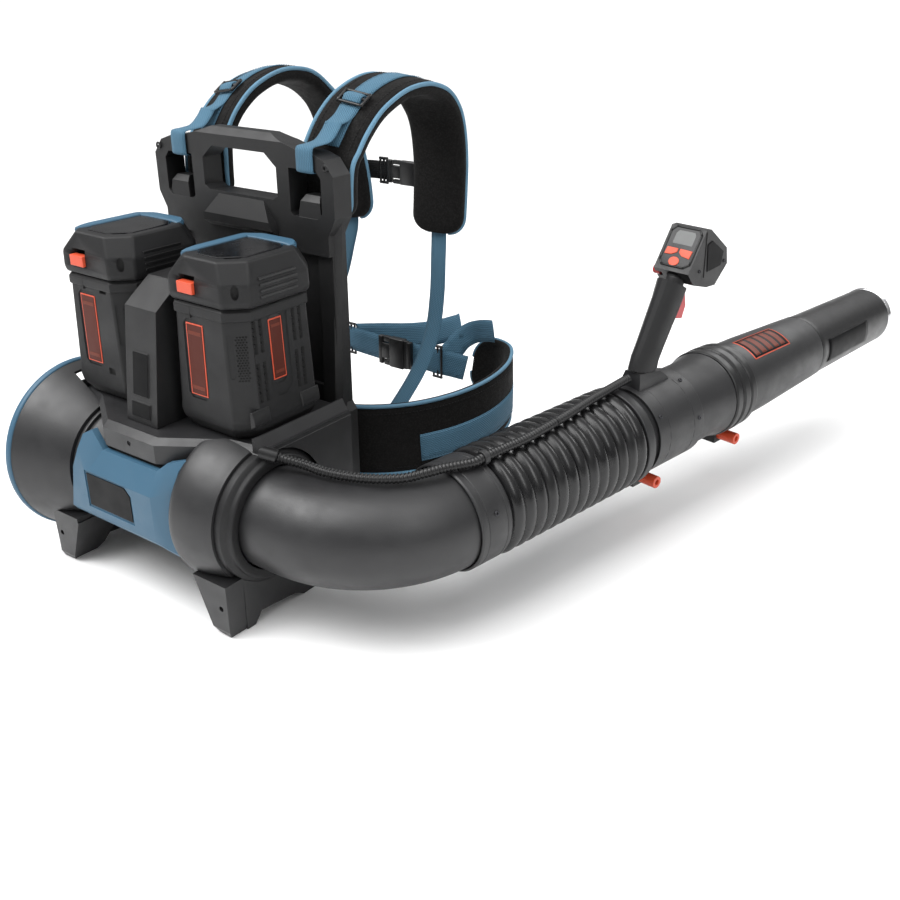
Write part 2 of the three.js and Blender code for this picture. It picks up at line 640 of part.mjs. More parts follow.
// How far each station of the left pad lies from the mid-plane: it drifts
// inwards over the chest.
const leftX = [98, 98, 98, 98, 98, 98, 98, 97, 94, 89, 80, 67, 54, 46];
const rollOf = (i) => [0, 0.05, 0.2, 0.25, 0.24, 0.2, 0.16, 0.12, 0.05, -0.05, -0.12, -0.2, -0.22, -0.22][i];
for (const [side, sx] of [["right", 1], ["left", -1]]) {
  const pad = band(
    strapPath.map(([y, z], i) => {
      const edge = i === 0 || i === strapPath.length - 1 ? 0.72 : 1;
      return [sx > 0 ? STRAP_X : -leftX[i], y, z, STRAP_W * edge, STRAP_T * (edge < 1 ? 0.7 : 1), 1, i > 8 ? sx * 0.12 : 0, -sx * rollOf(i)];
    }),
    0.7,
  );
  piece(machine, `shoulder_pad_${side}`, pad, M.fabric);
  // Webbing from the loop bar of the frame up to the adjuster on the pad.
  const wx = sx * (side === "right" ? 110 : 101);
  const loopWeb = band(
    [
      [wx, 240, 489.6, 26, WEB_T], [wx, 213, 489.4, 26, WEB_T], [wx, 211.5, 491.2, 26, WEB_T], [wx, 211.5, 513, 26, WEB_T], [wx, 213.8, 517, 26, WEB_T], [wx, 230, 518.4, 26, WEB_T],
      [wx, 244, 520.5, 26, WEB_T], [wx, 256, 530, 26, WEB_T], [wx, 267, 542.5, 26, WEB_T],
    ].map((e) => [...e, 1, 0, 0]),
  );
  piece(machine, `shoulder_webbing_${side}`, loopWeb, M.webbing);
  const adj = band(
    [[wx, 271.5, 545, 36, 5, 1, 0, 0], [wx, 289, 560, 36, 5, 1, 0, 0]],
  );
  piece(machine, `shoulder_adjuster_${side}`, adj, M.web_black);
  // Lower webbing from the pad's end back to the foot of the frame.
  const lower = band(
    [
      [sx > 0 ? 110 : -46, 463, 365, 25, WEB_T], [sx > 0 ? 112 : -50, 459, 340, 25, WEB_T], [sx > 0 ? 114 : -62, 453, 290, 25, WEB_T],
      [sx > 0 ? 115 : -80, 440, 240, 25, WEB_T], [sx > 0 ? 114 : -95, 412, 196, 25, WEB_T], [sx * 112, 372, 160, 25, WEB_T],
      [sx * 110, 322, 124, 25, WEB_T], [sx * 108, 278, 90, 25, WEB_T], [sx * 108, 244.6, 72, 25, WEB_T],
    ].map((e) => [...e, 1, 0, 0]),
  );
  piece(machine, `lower_webbing_${side}`, lower, M.webbing);
}

// Chest strap with its side-release buckle between the two pads.
const chestZ = 441;
piece(
  machine,
  "chest_strap",
  band([[-20, 488, chestZ, 25, WEB_T], [-8, 488.4, chestZ, 25, WEB_T], [6.5, 489, chestZ, 25, WEB_T]].map((e) => [...e, 0, 0, 1])),
  M.web_black,
);
piece(
  machine,
  "chest_buckle",
  band([[7, 489, chestZ, 30, 9], [24, 490, chestZ, 32, 10], [46, 489, chestZ, 32, 10], [68, 488, chestZ, 26, 3]].map((e) => [...e, 0, 0, 1]), 0.5),
  M.web_black,
);

// Waist belt: two padded wings; plan path of the right wing.
const beltPath = [
  [90, 252], [131, 261], [165, 279], [195, 309], [216, 350], [226, 392], [226, 434], [216, 476], [198, 506],
  [174, 521], [150, 521], [134, 512],
];
const beltTop = (i) => 191 + 19 * Math.min(1, i / 7) + (i > 7 ? 5 : 0);
const beltLow = (i) => (i < 7 ? 96 + 20 * (i / 7) : 116 + 18 * ((i - 7) / 4));
function wing(sx) {
  return band(
    beltPath.map(([x, y], i) => {
      const top = beltTop(i),
        low = beltLow(i);
      return [sx * x, y, (top + low) / 2, top - low, i === 0 || i === beltPath.length - 1 ? 9 : 14, 0, 0, 1];
    }),
    0.7,
  );
}
const lumbar = band(
  [[-91, 252.3, 146, 90, 9, 0, 0, 1], [0, 252.3, 146, 90, 9, 0, 0, 1], [91, 252.3, 146, 90, 9, 0, 0, 1]],
  0.5,
);
piece(machine, "waist_belt", add(wing(1), wing(-1), lumbar), M.fabric);

// Waist webbing across the front, and its buckle.
const wz = 180;
piece(
  machine,
  "waist_webbing",
  band([[-124, 500, wz, 38, WEB_T], [-100, 492, wz, 38, WEB_T], [-70, 485, wz, 38, WEB_T], [-6, 480, wz, 38, WEB_T], [58, 480, wz, 38, WEB_T], [90, 484, wz - 2, 38, WEB_T], [108, 492, wz - 5, 38, WEB_T], [125, 500, wz - 9, 38, WEB_T]].map((e) => [...e, 0, 0, 1])),
  M.webbing,
);
piece(
  machine,
  "waist_buckle",
  band([[-9, 474, wz, 44, 8], [6, 472.5, wz, 46, 12], [34, 472.5, wz, 46, 12], [50, 474, wz, 40, 8]].map((e) => [...e, 0, 0, 1]), 0.5),
  M.web_black,
);
// ================================================================= blow tube
// Elbow: out of the collar along +X, then round to the tube's heading.
const heading = V(
  Math.sin(rad(TUBE_AZ)) * Math.cos(rad(TUBE_EL)),
  Math.cos(rad(TUBE_AZ)) * Math.cos(rad(TUBE_EL)),
  Math.sin(rad(TUBE_EL)),
);
const X = V(1, 0, 0);
const inward = heading.clone().addScaledVector(X, -heading.x).normalize();
const sweepAngle = Math.acos(heading.x);
const bendStart = V(200.5, AXIS_Y, AXIS_Z);
const elbowPath = [{ c: V(152, AXIS_Y, AXIS_Z), t: X.clone() }];
for (let k = 0; k <= 9; k++) {
  const a = (sweepAngle * k) / 9;
  elbowPath.push({
    c: bendStart
      .clone()
      .addScaledVector(X, ELBOW_BEND * Math.sin(a))
      .addScaledVector(inward, ELBOW_BEND * (1 - Math.cos(a))),
    t: X.clone().multiplyScalar(Math.cos(a)).addScaledVector(inward, Math.sin(a)),
  });
}
const elbowEnd = elbowPath[elbowPath.length - 1].c.clone();
elbowPath.push({ c: elbowEnd.clone().addScaledVector(heading, 14), t: heading.clone() });
const inner = elbowPath.map((p) => ({ c: p.c.clone(), t: p.t }));
inner[0].c.x -= 3;
inner[inner.length - 1].c.addScaledVector(heading, 3);
piece(
  machine,
  "elbow",
  cut(pipe(elbowPath, ELBOW_R, 26), pipe(inner, ELBOW_R - WALL, 26)),
  M.charcoal,
);

// Everything beyond the elbow is laid out in the tube's own axes:
// local +Y along the tube, +X to the right, +Z up.
const tubeRight = V(heading.y, -heading.x, 0).normalize();
const tubeUp = tubeRight.clone().cross(heading).normalize();
const tube = new THREE.Group();
tube.matrixAutoUpdate = true;
new THREE.Matrix4()
  .makeBasis(tubeRight, heading, tubeUp)
  .decompose(tube.position, tube.quaternion, tube.scale);
tube.position.copy(elbowEnd);
machine.add(tube);

// Clamp ring over the joint, with the cable clip on top.
let clampRing = latheY(
  closeProfile([[-4, 62.4], [-4, 64], [-2, 65.5], [40, 65.5], [43, 64], [43, ELBOW_R + GAP], [4, ELBOW_R + GAP], [3, 62.4]]),
  24,
);
const clipDir = V(0.289, 0, 0.957);
const clipC = clipDir.clone().multiplyScalar(73).setY(46);
const clip = cylAlong(clipC.clone().setY(36), clipC.clone().setY(43), 8.6, 16);
clampRing = add(clampRing, cut(clip, ringY(30, 50, 40, 64.6, 30)));
clampRing = cut(
  clampRing,
  cylAlong(clipC.clone().setY(30), clipC.clone().setY(50), 5.5 + GAP, 16),
  ringY(-10, 60, 30, ELBOW_R + GAP, 30),
);
piece(tube, "elbow_clamp_ring", clampRing, M.charcoal);

// Bellows: ribbed hose between two cuffs.
const ribs = [[15, 57], [15, 60.6], [46, 60.6]];
const ribPitch = (BELLOWS_END - 12 - 48) / BELLOWS_RIBS;
for (let k = 0; k < BELLOWS_RIBS; k++) {
  const s = 48 + k * ribPitch;
  ribs.push([s, 61.5], [s + ribPitch * 0.5, 67]);
}
ribs.push([BELLOWS_END - 12, 60.6], [BELLOWS_END, 60.6], [BELLOWS_END, 57]);
piece(tube, "bellows", latheY(closeProfile(ribs), 24), M.rubber);

// First rigid tube: socket over the bellows, barrel, flare and lock collar seat.
let tube1 = latheY(
  closeProfile([
    [288.5, 61], [288.5, 66.5], [302, 66.5], [306, 57.5], [468, 56.5], [487, 60.5], [491, 60.5], [491.5, 58.6], [535, 58.6],
    [535, 57.4], [494, 57.4], [474, 53.6], [306, 54.5], [302, 61],
  ]),
  24,
);
piece(tube, "tube_1", tube1, M.charcoal);

// Handle clamp: band round the barrel with a boss above and a lug below.
let clamp = ringY(318, 412, 57.9, 61.5, 24);
clamp = add(
  clamp,
  loft([
    [V(-16, 326, 57), V(16, 326, 57), V(16, 390, 57), V(-16, 390, 57)],
    [V(-15, 328, 70), V(15, 328, 70), V(15, 384, 66), V(-15, 384, 66)],
    [V(-12, 331, 81), V(12, 331, 81), V(12, 374, 74), V(-12, 374, 74)],
  ]),
  box(-14, 12, 331, 359, -84, -56),
);
clamp = cut(
  clamp,
  ringY(300, 430, 30, 57.9, 24),
  cylAlong(V(-20, 345, -71), V(20, 345, -71), 8.5 + GAP, 20),
);
piece(tube, "handle_clamp", clamp, M.charcoal);

// Orange lock pins under the handle clamp and under the coupling.
const pin = (s, z, x0) =>
  cut(
    add(
      cylAlong(V(x0, s, z), V(x0 + 26, s, z), 6, 16),
      cylAlong(V(x0 + 26 - 2, s, z), V(x0 + 50, s, z), 8.5, 20),
    ),
    cylAlong(V(x0 + 40, s, z), V(x0 + 52, s, z), 4, 12),
  );
const pinRear = add(cylAlong(V(-8, 345, -71), V(16, 345, -71), 8.5, 20), cylAlong(V(15, 345, -71), V(41, 345, -71), 8.5, 20));
piece(tube, "lock_pin_rear", cut(pinRear, cylAlong(V(32, 345, -71), V(50, 345, -71), 4.2, 12)), M.orange);

// Coupling collar with the second lug.
let coupling = latheY(
  closeProfile([
    [492, 58.6 + GAP], [492, 61], [494, 62.6], [504, 62.6], [506, 60.6], [509, 60.6], [511, 63.2], [522, 63.2], [524, 60.8],
    [527, 60.8], [529, 62.6], [539, 62.6], [542, 60.4], [544, 57.6], [535 + GAP, 57.6], [535 + GAP, 58.6 + GAP],
  ]),
  24,
);
const lug = cut(
  box(-12, 14, 518, 544, -82, -58),
  ringY(480, 560, 20, 60, 24),
  cylAlong(V(-20, 531, -70), V(24, 531, -70), 8.5 + GAP, 20),
);
piece(tube, "coupling_collar", main(cut(add(coupling, lug), cylAlong(V(-20, 531, -70), V(60, 531, -70), 8.5 + GAP, 20))), M.charcoal_soft);
const pinFront = cylAlong(V(-8, 531, -70), V(42, 531, -70), 8.5, 20);
piece(tube, "lock_pin_front", cut(pinFront, cylAlong(V(33, 531, -70), V(54, 531, -70), 4.2, 12)), M.orange);

// Second tube and nozzle, tapering to the mouth.
piece(
  tube,
  "tube_2",
  latheY(
    closeProfile([
      [506, 54], [506, 57], [566, 57], [600, 56.4], [NOZZLE_SEAM, 50.5], [NOZZLE_SEAM, 47.8], [600, 53.6], [566, 54],
    ]),
    24,
  ),
  M.charcoal,
);
piece(
  tube,
  "nozzle",
  latheY(
    closeProfile([
      [716, 44.4], [716, 47.2], [NOZZLE_SEAM + GAP, 47], [NOZZLE_SEAM + GAP, 50], [NOZZLE_SEAM + 10, 50], [NOZZLE_SEAM + 16, 48.6],
      [NOZZLE_END - 10, 45.4], [NOZZLE_END - 10, 42.6],
    ]),
    24,
  ),
  M.charcoal,
);
piece(
  tube,
  "nozzle_tip_ring",
  latheY(
    closeProfile([[NOZZLE_END - 9.6, 42.6], [NOZZLE_END - 9.6, 45.6], [NOZZLE_END - 2, 46.4], [NOZZLE_END, 45.4], [NOZZLE_END, 42.2]]),
    24,
  ),
  M.steel,
);

// ============================================================ control handle
// Grip: oval section leaning forward, from the clamp's boss up to the head.
const gripRing = (s, z, a, b, lean) =>
  Array.from({ length: 16 }, (_, k) => {
    const t = (2 * Math.PI * k) / 16;
    return V(b * Math.cos(t), s + a * Math.sin(t), z - a * Math.sin(t) * lean);
  });
let grip = loft([
  gripRing(351, 79.4, 25, 14.5, 0.2), gripRing(355, 94, 23, 14.8, 0.3), gripRing(365, 112, 21.5, 15, 0.42),
  gripRing(378, 135, 21.5, 15.5, 0.5), gripRing(393, 162, 21.5, 16.5, 0.55), gripRing(403, 184, 21.5, 18, 0.55),
]);
// Head: faceted side profile, control face tilted back towards the wearer.
const headProfile = [
  [399, 201], [401.5, 204], [433, 251], [443, 251], [482, 220], [486, 198], [461, 174], [442, 175], [412, 184],
];
let head = prismYZ(headProfile, -28, 26);
const faceN = V(0, -0.832, 0.555); // outward normal of the control face
const faceU = V(0, 0.555, 0.832); // up along the control face
const faceO = V(0, 402, 204.7); // foot of the control face on the mid-plane
const onFace = (x, u, n) => V(x, 0, 0).add(faceO).addScaledVector(faceU, u).addScaledVector(faceN, n);
const facePrism = (pts, n0, n1) =>
  loft([pts.map(([x, u]) => onFace(x, u, n0)), pts.map(([x, u]) => onFace(x, u, n1))]);
const lcdShape = [[-19, 29], [18, 29], [18, 47], [13, 53], [-14, 53], [-19, 47]];
const btnL = [[-21, 16], [-10.5, 16.5], [-3, 20.5], [-3, 26], [-20, 26]];
const btnR = [[0, 20.5], [5.5, 16.5], [18, 14.5], [19, 25.5], [0, 26]];
const btnP = Array.from({ length: 16 }, (_, k) => {
  const t = (2 * Math.PI * k) / 16;
  return [-2.5 + 8 * Math.cos(t), 8.4 + 6.2 * Math.sin(t)];
});
const grow = (pts, g) => {
  const cx = pts.reduce((s, p) => s + p[0], 0) / pts.length,
    cy = pts.reduce((s, p) => s + p[1], 0) / pts.length;
  return pts.map(([x, y]) => [x + g * Math.sign(x - cx), y + g * Math.sign(y - cy)]);
};
grip = cut(grip, prismYZ([[370, 218], [398.6, 200.5], [411.7, 183.5], [441.7, 174.5], [480, 173.2], [480, 300], [370, 300]], -40, 40));
// Pockets for the display, buttons, lock-off and trigger.
const trigger = prismYZ([[409, 168], [424, 170], [428, 150], [421.5, 133], [404.5, 137], [403, 141]], -7, 7);
const triggerPocket = prismYZ([[399, 166], [408, 173.6], [430, 174], [432, 140], [424, 126], [395, 126], [395, 150]], -7.5, 7.5);
head = cut(
  head,
  facePrism(grow(lcdShape, GAP), -2.5, 5),
  facePrism(grow(btnL, GAP), -4, 5),
  facePrism(grow(btnR, GAP), -4, 5),
  facePrism(btnP.map(([x, u]) => [-2.5 + (x + 2.5) * 1.06, 8.4 + (u - 8.4) * 1.07]), -4, 5),
  cylAlong(V(-40, 410, 196), V(-18, 410, 196), 6.8, 16),
);
grip = cut(grip, triggerPocket);
head = cut(head, triggerPocket);
piece(tube, "handle_grip", main(cut(grip, box(-40, 40, 300, 500, 40, 79))), M.charcoal_soft);
piece(tube, "control_head", main(head), M.charcoal);
piece(tube, "display_lens", facePrism(lcdShape, -2.1, -0.4), M.black_gloss);
piece(tube, "button_left", facePrism(btnL, -2, 1.5), M.orange);
piece(tube, "button_right", facePrism(btnR, -2, 1.5), M.orange);
piece(tube, "button_power", facePrism(btnP, -2, 1.5), M.orange);
piece(tube, "lock_off_button", cylAlong(V(-33, 410, 196), V(-22.5, 410, 196), 6.4, 16), M.red);
piece(tube, "trigger", trigger, M.red);

// ====================================================================== cable
// Corrugated conduit: gland on the deck rail, clip on the clamp ring, handle.
const inTube = (x, s, h) =>
  elbowEnd.clone().addScaledVector(tubeRight, x).addScaledVector(heading, s).addScaledVector(tubeUp, h);
const clipIn = inTube(clipC.x, 35.4, clipC.z);
const clipBefore = inTube(clipC.x, 22, clipC.z);
const glandFrom = V(158, 57, 216);
const glandTo = V(178, 70, 209);
let gland = cylAlong(glandFrom, glandTo, 8.2, 16);
gland = cut(gland, cylAlong(V(170, 64.8, 211.8), V(190, 77.8, 204.8), 5.5 + GAP, 16), discX(148, 172, COLLAR_R + 1.4, 32), box(100, 166 + GAP, 0, 200, 100, 240));
piece(machine, "cable_gland", gland, M.rubber);
const lowerRoute = [
  [172, 66.1, 211.1], [186, 75.2, 206.2], [206, 84, 201.8], [230, 87, 199.5], [254, 93, 199], [276, 101, 199], [296, 112, 199.4],
  [314, 127, 200], [328, 146, 202.6], [338, 166, 203.4],
  [clipBefore.x, clipBefore.y, clipBefore.z],
  [clipIn.x, clipIn.y, clipIn.z],
];
piece(machine, "cable_lower", cord(lowerRoute, 5.5, 20, 8), M.rubber);
const upperLocal = [
  [clipC.x, 36, clipC.z], [clipC.x, 50, clipC.z], [22.5, 76, 70.6], [22.6, 104, 70.6], [20.5, 136, 71.2], [17.5, 168, 72],
  [13.5, 200, 72.8], [9, 232, 73.4], [5.5, 262, 73.8], [2.5, 290, 74.2], [0.8, 308, 74.6], [0, 321.6, 75],
];
piece(tube, "cable_upper", cord(upperLocal, 5.5, 20, 8), M.rubber);

export default root;
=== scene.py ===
import math
import random
import bmesh
import bpy
from mathutils import Matrix, Vector


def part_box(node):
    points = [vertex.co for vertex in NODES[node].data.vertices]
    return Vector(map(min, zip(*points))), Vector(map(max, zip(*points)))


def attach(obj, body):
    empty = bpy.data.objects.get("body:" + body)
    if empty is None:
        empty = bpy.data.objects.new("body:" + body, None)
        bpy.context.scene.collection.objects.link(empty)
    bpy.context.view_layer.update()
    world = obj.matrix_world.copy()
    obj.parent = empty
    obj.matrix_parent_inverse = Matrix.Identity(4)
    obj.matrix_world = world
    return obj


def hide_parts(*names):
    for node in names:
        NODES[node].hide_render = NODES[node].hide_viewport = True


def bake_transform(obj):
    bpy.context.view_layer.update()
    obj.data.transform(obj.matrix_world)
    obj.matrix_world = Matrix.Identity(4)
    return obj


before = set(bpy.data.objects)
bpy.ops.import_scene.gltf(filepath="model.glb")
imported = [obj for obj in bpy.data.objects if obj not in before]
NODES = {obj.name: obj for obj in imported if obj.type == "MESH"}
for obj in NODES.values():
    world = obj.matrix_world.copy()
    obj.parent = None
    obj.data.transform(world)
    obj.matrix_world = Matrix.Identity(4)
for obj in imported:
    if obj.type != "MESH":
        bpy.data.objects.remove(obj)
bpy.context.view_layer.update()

X, Y, Z = Vector((1, 0, 0)), Vector((0, 1, 0)), Vector((0, 0, 1))
rnd = random.Random(7)


def W(x, y, z):
    return Vector((x / 1000, (y - 240) / 1000, z / 1000))


AZ, EL = math.radians(11.2), math.radians(1.8)
N = Vector((math.sin(AZ) * math.cos(EL), math.cos(AZ) * math.cos(EL), math.sin(EL)))
RT = Vector((N.y, -N.x, 0)).normalized()
UP = RT.cross(N).normalized()
INW = (N - X * N.x).normalized()
SWEEP = math.acos(N.x)
BEND = 131.6
END = W(200.5, 74, 129) + (X * math.sin(SWEEP) + INW * (1 - math.cos(SWEEP))) * BEND / 1000


def T(s, x, h):
    return END + (N * s + RT * x + UP * h) / 1000


# ------------------------------------------------------------------ materials
class Nodes:
    def __init__(self, name, rough, metallic=0.0, specular=0.5, coat=0.0, sheen=0.0):
        m = bpy.data.materials.new(name)
        m.use_nodes = True
        self.m, self.t = m, m.node_tree
        self.b = self.t.nodes["Principled BSDF"]
        self.b.inputs["Roughness"].default_value = rough
        self.b.inputs["Metallic"].default_value = metallic
        self.b.inputs["Specular IOR Level"].default_value = specular
        self.b.inputs["Coat Weight"].default_value = coat
        self.b.inputs["Sheen Weight"].default_value = sheen
        self.tc = self.t.nodes.new("ShaderNodeTexCoord")

    def noise(self, scale, detail=3.0, source="Object", rough=0.55):
        n = self.t.nodes.new("ShaderNodeTexNoise")
        n.inputs["Scale"].default_value = scale
        n.inputs["Detail"].default_value = detail
        n.inputs["Roughness"].default_value = rough
        self.t.links.new(self.tc.outputs[source], n.inputs["Vector"])
        return n.outputs["Fac"]

    def cells(self, scale, source="Object", feature="F1"):
        n = self.t.nodes.new("ShaderNodeTexVoronoi")
        n.feature = feature
        n.inputs["Scale"].default_value = scale
        self.t.links.new(self.tc.outputs[source], n.inputs["Vector"])
        return n.outputs["Distance"]

    def math(self, op, a, b=0.0):
        n = self.t.nodes.new("ShaderNodeMath")
        n.operation = op
        for i, v in enumerate((a, b)):
            if isinstance(v, (int, float)):
                n.inputs[i].default_value = v
            else:
                self.t.links.new(v, n.inputs[i])
        return n.outputs[0]

    def remap(self, v, a, b, c, d):
        n = self.t.nodes.new("ShaderNodeMapRange")
        for i, k in enumerate((a, b, c, d)):
            n.inputs[i + 1].default_value = k
        self.t.links.new(v, n.inputs[0])
        return n.outputs[0]

    def mix(self, fac, a, b):
        n = self.t.nodes.new("ShaderNodeMix")
        n.data_type = "RGBA"
        if isinstance(fac, (int, float)):
            n.inputs[0].default_value = fac
        else:
            self.t.links.new(fac, n.inputs[0])
        for i, v in ((6, a), (7, b)):
            if isinstance(v, tuple):
                n.inputs[i].default_value = (*v, 1)
            else:
                self.t.links.new(v, n.inputs[i])
        return n.outputs[2]

    def bump(self, height, strength, distance):
        n = self.t.nodes.new("ShaderNodeBump")
        n.inputs["Strength"].default_value = strength
        n.inputs["Distance"].default_value = distance
        self.t.links.new(height, n.inputs["Height"])
        self.t.links.new(n.outputs[0], self.b.inputs["Normal"])

    def link(self, v, name):
        self.t.links.new(v, self.b.inputs[name])


def tone(c, k):
    return tuple(max(0.0, min(1.0, v * k)) for v in c)


def plastic(name, color, rough=0.5, grain=1300, depth=0.0003, var=0.08, coat=0.0, spec=0.45):
    s = Nodes(name, rough, specular=spec, coat=coat)
    blot = s.noise(14, 4)
    scuff = s.remap(s.noise(60, 5, rough=0.7), 0.62, 0.78, 0.0, 0.22)
    base = s.mix(blot, tone(color, 1 - var), tone(color, 1 + var))
    s.link(s.mix(scuff, base, tone(tuple(v * 0.9 + 0.012 for v in color), 1.1)), "Base Color")
    s.link(s.remap(s.noise(40, 4), 0.3, 0.7, max(0.05, rough - 0.06), rough + 0.08), "Roughness")
    s.bump(s.noise(grain, 2), 0.35, depth)
    return s.m


def webbing_material(name, color, dark):
    """Twill webbing: UVs are metres, u along the strap and v across it."""
    s = Nodes(name, 0.8, specular=0.15, sheen=0.05)
    sep = s.t.nodes.new("ShaderNodeSeparateXYZ")
    s.t.links.new(s.tc.outputs["UV"], sep.inputs[0])
    u, v = sep.outputs[0], sep.outputs[1]
    warp = s.math("SINE", s.math("MULTIPLY", v, 2 * math.pi / 0.0026))
    twill = s.math("SINE", s.math("MULTIPLY", s.math("ADD", u, s.math("MULTIPLY", v, 0.9)), 2 * math.pi / 0.0034))
    height = s.math("ADD", s.math("MULTIPLY", warp, 0.55), s.math("MULTIPLY", twill, 0.45))
    # The weave's low threads are painted darker as shade, following the same height the bump uses.
    fac = s.remap(height, -0.9, 0.8, 0.0, 1.0)
    c = s.mix(fac, dark, color)
    c = s.mix(s.remap(s.noise(30, 4), 0.35, 0.7, 0.0, 0.25), c, tone(color, 0.72))
    s.link(c, "Base Color")
    s.link(s.remap(s.noise(300, 3), 0.3, 0.7, 0.7, 0.92), "Roughness")
    s.bump(height, 0.6, 0.0005)
    return s.m


def mesh_fabric(name, color, scale=420, depth=0.0005, hole=0.55):
    s = Nodes(name, 0.85, specular=0.12, sheen=0.03)
    # Painted shade in the mesh's sunk holes and painted highlight on its raised cells, following the bump's height.
    c = s.cells(scale)
    fac = s.remap(c, 0.15, 0.6, 0.0, 1.0)
    col = s.mix(fac, tone(color, 1.25), tone(color, hole))
    col = s.mix(s.remap(s.noise(18, 4), 0.35, 0.7, 0.0, 0.35), col, tone(color, 0.7))
    s.link(col, "Base Color")
    s.link(s.remap(s.noise(120, 3), 0.3, 0.7, 0.75, 0.95), "Roughness")
    s.bump(s.math("SUBTRACT", 1.0, fac), 0.35, depth)
    return s.m


def plain_weave(name, color, scale=900, depth=0.0004):
    s = Nodes(name, 0.8, specular=0.15, sheen=0.04)
    sep = s.t.nodes.new("ShaderNodeSeparateXYZ")
    s.t.links.new(s.tc.outputs["UV"], sep.inputs[0])
    a = s.math("SINE", s.math("MULTIPLY", sep.outputs[0], 2 * math.pi / 0.0022))
    b = s.math("SINE", s.math("MULTIPLY", sep.outputs[1], 2 * math.pi / 0.0022))
    h = s.math("MULTIPLY", a, b)
    # The weave's low points are painted darker as shade and its high points lighter as highlight, following the bump's
    # height.
    c = s.mix(s.remap(h, -1, 1, 0, 1), tone(color, 0.75), tone(color, 1.2))
    c = s.mix(s.remap(s.noise(24, 4), 0.35, 0.7, 0.0, 0.3), c, tone(color, 0.6))
    s.link(c, "Base Color")
    s.link(s.remap(s.noise(260, 3), 0.3, 0.7, 0.72, 0.92), "Roughness")
    s.bump(s.math("ADD", h, s.noise(scale, 2)), 0.5, depth)
    return s.m


def metal(name, color, rough=0.25, streak=500):
    s = Nodes(name, rough, metallic=1.0)
    mp = s.t.nodes.new("ShaderNodeMapping")
    mp.inputs["Scale"].default_value = (30, 30, streak)
    s.t.links.new(s.tc.outputs["Object"], mp.inputs["Vector"])
    n = s.t.nodes.new("ShaderNodeTexNoise")
    n.inputs["Scale"].default_value = 4
    s.t.links.new(mp.outputs[0], n.inputs["Vector"])
    s.link(s.remap(n.outputs["Fac"], 0.3, 0.7, max(0.05, rough - 0.08), rough + 0.12), "Roughness")
    s.link(s.mix(s.noise(20, 3), tone(color, 0.88), tone(color, 1.05)), "Base Color")
    s.bump(n.outputs["Fac"], 0.12, 0.0002)
    return s.m


CHAR = plastic("moulded charcoal", (0.0165, 0.0165, 0.0175), 0.42, 1500, 0.0003, spec=0.5)
SOFT = plastic("moulded charcoal soft", (0.0120, 0.0120, 0.0126), 0.5, 1100, 0.0004, spec=0.3)
SMOOTH = plastic("smooth charcoal", (0.0105, 0.0105, 0.011), 0.36, 2200, 0.00015, spec=0.4)
FRAMEM = plastic("frame charcoal", (0.0125, 0.0125, 0.013), 0.46, 1700, 0.0003, spec=0.36)
PLATE = plastic("blank plate", (0.0016, 0.0016, 0.002), 0.42, 900, 0.0001, spec=0.12)
BLUE = plastic("satin blue", (0.042, 0.105, 0.165), 0.42, 1600, 0.0002, 0.06, spec=0.35)
ORANGE = plastic("orange", (0.60, 0.075, 0.030), 0.38, 1500, 0.00015, 0.05)
LABEL = plastic("label field", (0.075, 0.016, 0.010), 0.4, 900, 0.0001, spec=0.15)
LABELK = plastic("label field black", (0.004, 0.004, 0.0045), 0.4, 600, 0.0001, spec=0.15)
PRINT = plastic("label band", (0.13, 0.030, 0.018), 0.4, 900, 0.0001, spec=0.15)
RED = plastic("red", (0.50, 0.045, 0.04), 0.4, 1500, 0.00015, 0.05)
TRIGGER = plastic("trigger red", (0.50, 0.075, 0.08), 0.42, 1500, 0.00015, 0.05)
GLOSS = plastic("gloss black", (0.004, 0.004, 0.005), 0.22, 300, 0.00002, 0.1, spec=0.3)
LCD = plastic("display", (0.060, 0.064, 0.063), 0.22, 400, 0.00002, 0.06)
RUBBER = plastic("rubber", (0.0075, 0.0075, 0.008), 0.34, 700, 0.0003, 0.12)
HOSE = plastic("hose rubber", (0.0065, 0.0065, 0.007), 0.27, 500, 0.0002, 0.12)
# Near-black: on the walls of slots, pockets and holes it is painted shade; on the seam lines it is the dark joint.
RECESS_SHADE_AND_SEAM = plastic("painted recess shade and seam", (0.004, 0.004, 0.004), 0.7, 900, 0.0003)
BUCKLE = plastic("acetal black", (0.0085, 0.0085, 0.009), 0.34, 1200, 0.00015)
WEB = webbing_material("blue webbing", (0.088, 0.190, 0.272), (0.042, 0.098, 0.150))
WEBK = webbing_material("black webbing", (0.014, 0.014, 0.015), (0.006, 0.006, 0.0065))
MESHF = mesh_fabric("spacer mesh", (0.0105, 0.0100, 0.0098))
CLOTH = plain_weave("pack cloth", (0.012, 0.0115, 0.0115))
PIPE = plain_weave("piping", (0.125, 0.250, 0.355))
STEEL = metal("polished ring", (0.80, 0.80, 0.82), 0.14)
SCREW = metal("screw", (0.06, 0.06, 0.065), 0.45)
ALLOY = metal("motor alloy", (0.5, 0.5, 0.52), 0.4)
BOARD = plastic("board", (0.02, 0.10, 0.05), 0.3, 300, 0.0002)

# --------------------------------------------------------------- mesh helpers
scene = bpy.context.scene


def mesh_object(name, verts, faces, material, uvs=None):
    me = bpy.data.meshes.new(name)
    me.from_pydata([tuple(v) for v in verts], [], faces)
    me.update()
    if uvs is not None:
        layer = me.uv_layers.new(name="UVMap")
        for poly in me.polygons:
            for li in poly.loop_indices:
                layer.data[li].uv = uvs[me.loops[li].vertex_index]
    me.materials.append(material)
    o = bpy.data.objects.new(name, me)
    scene.collection.objects.link(o)
    return o


def recalc(o):
    bm = bmesh.new()
    bm.from_mesh(o.data)
    bmesh.ops.recalc_face_normals(bm, faces=bm.faces)
    bm.to_mesh(o.data)
    bm.free()


def shade(o, angle=35):
    me = o.data
    for p in me.polygons:
        p.use_smooth = True
    me.set_sharp_from_angle(angle=math.radians(angle))
    return o


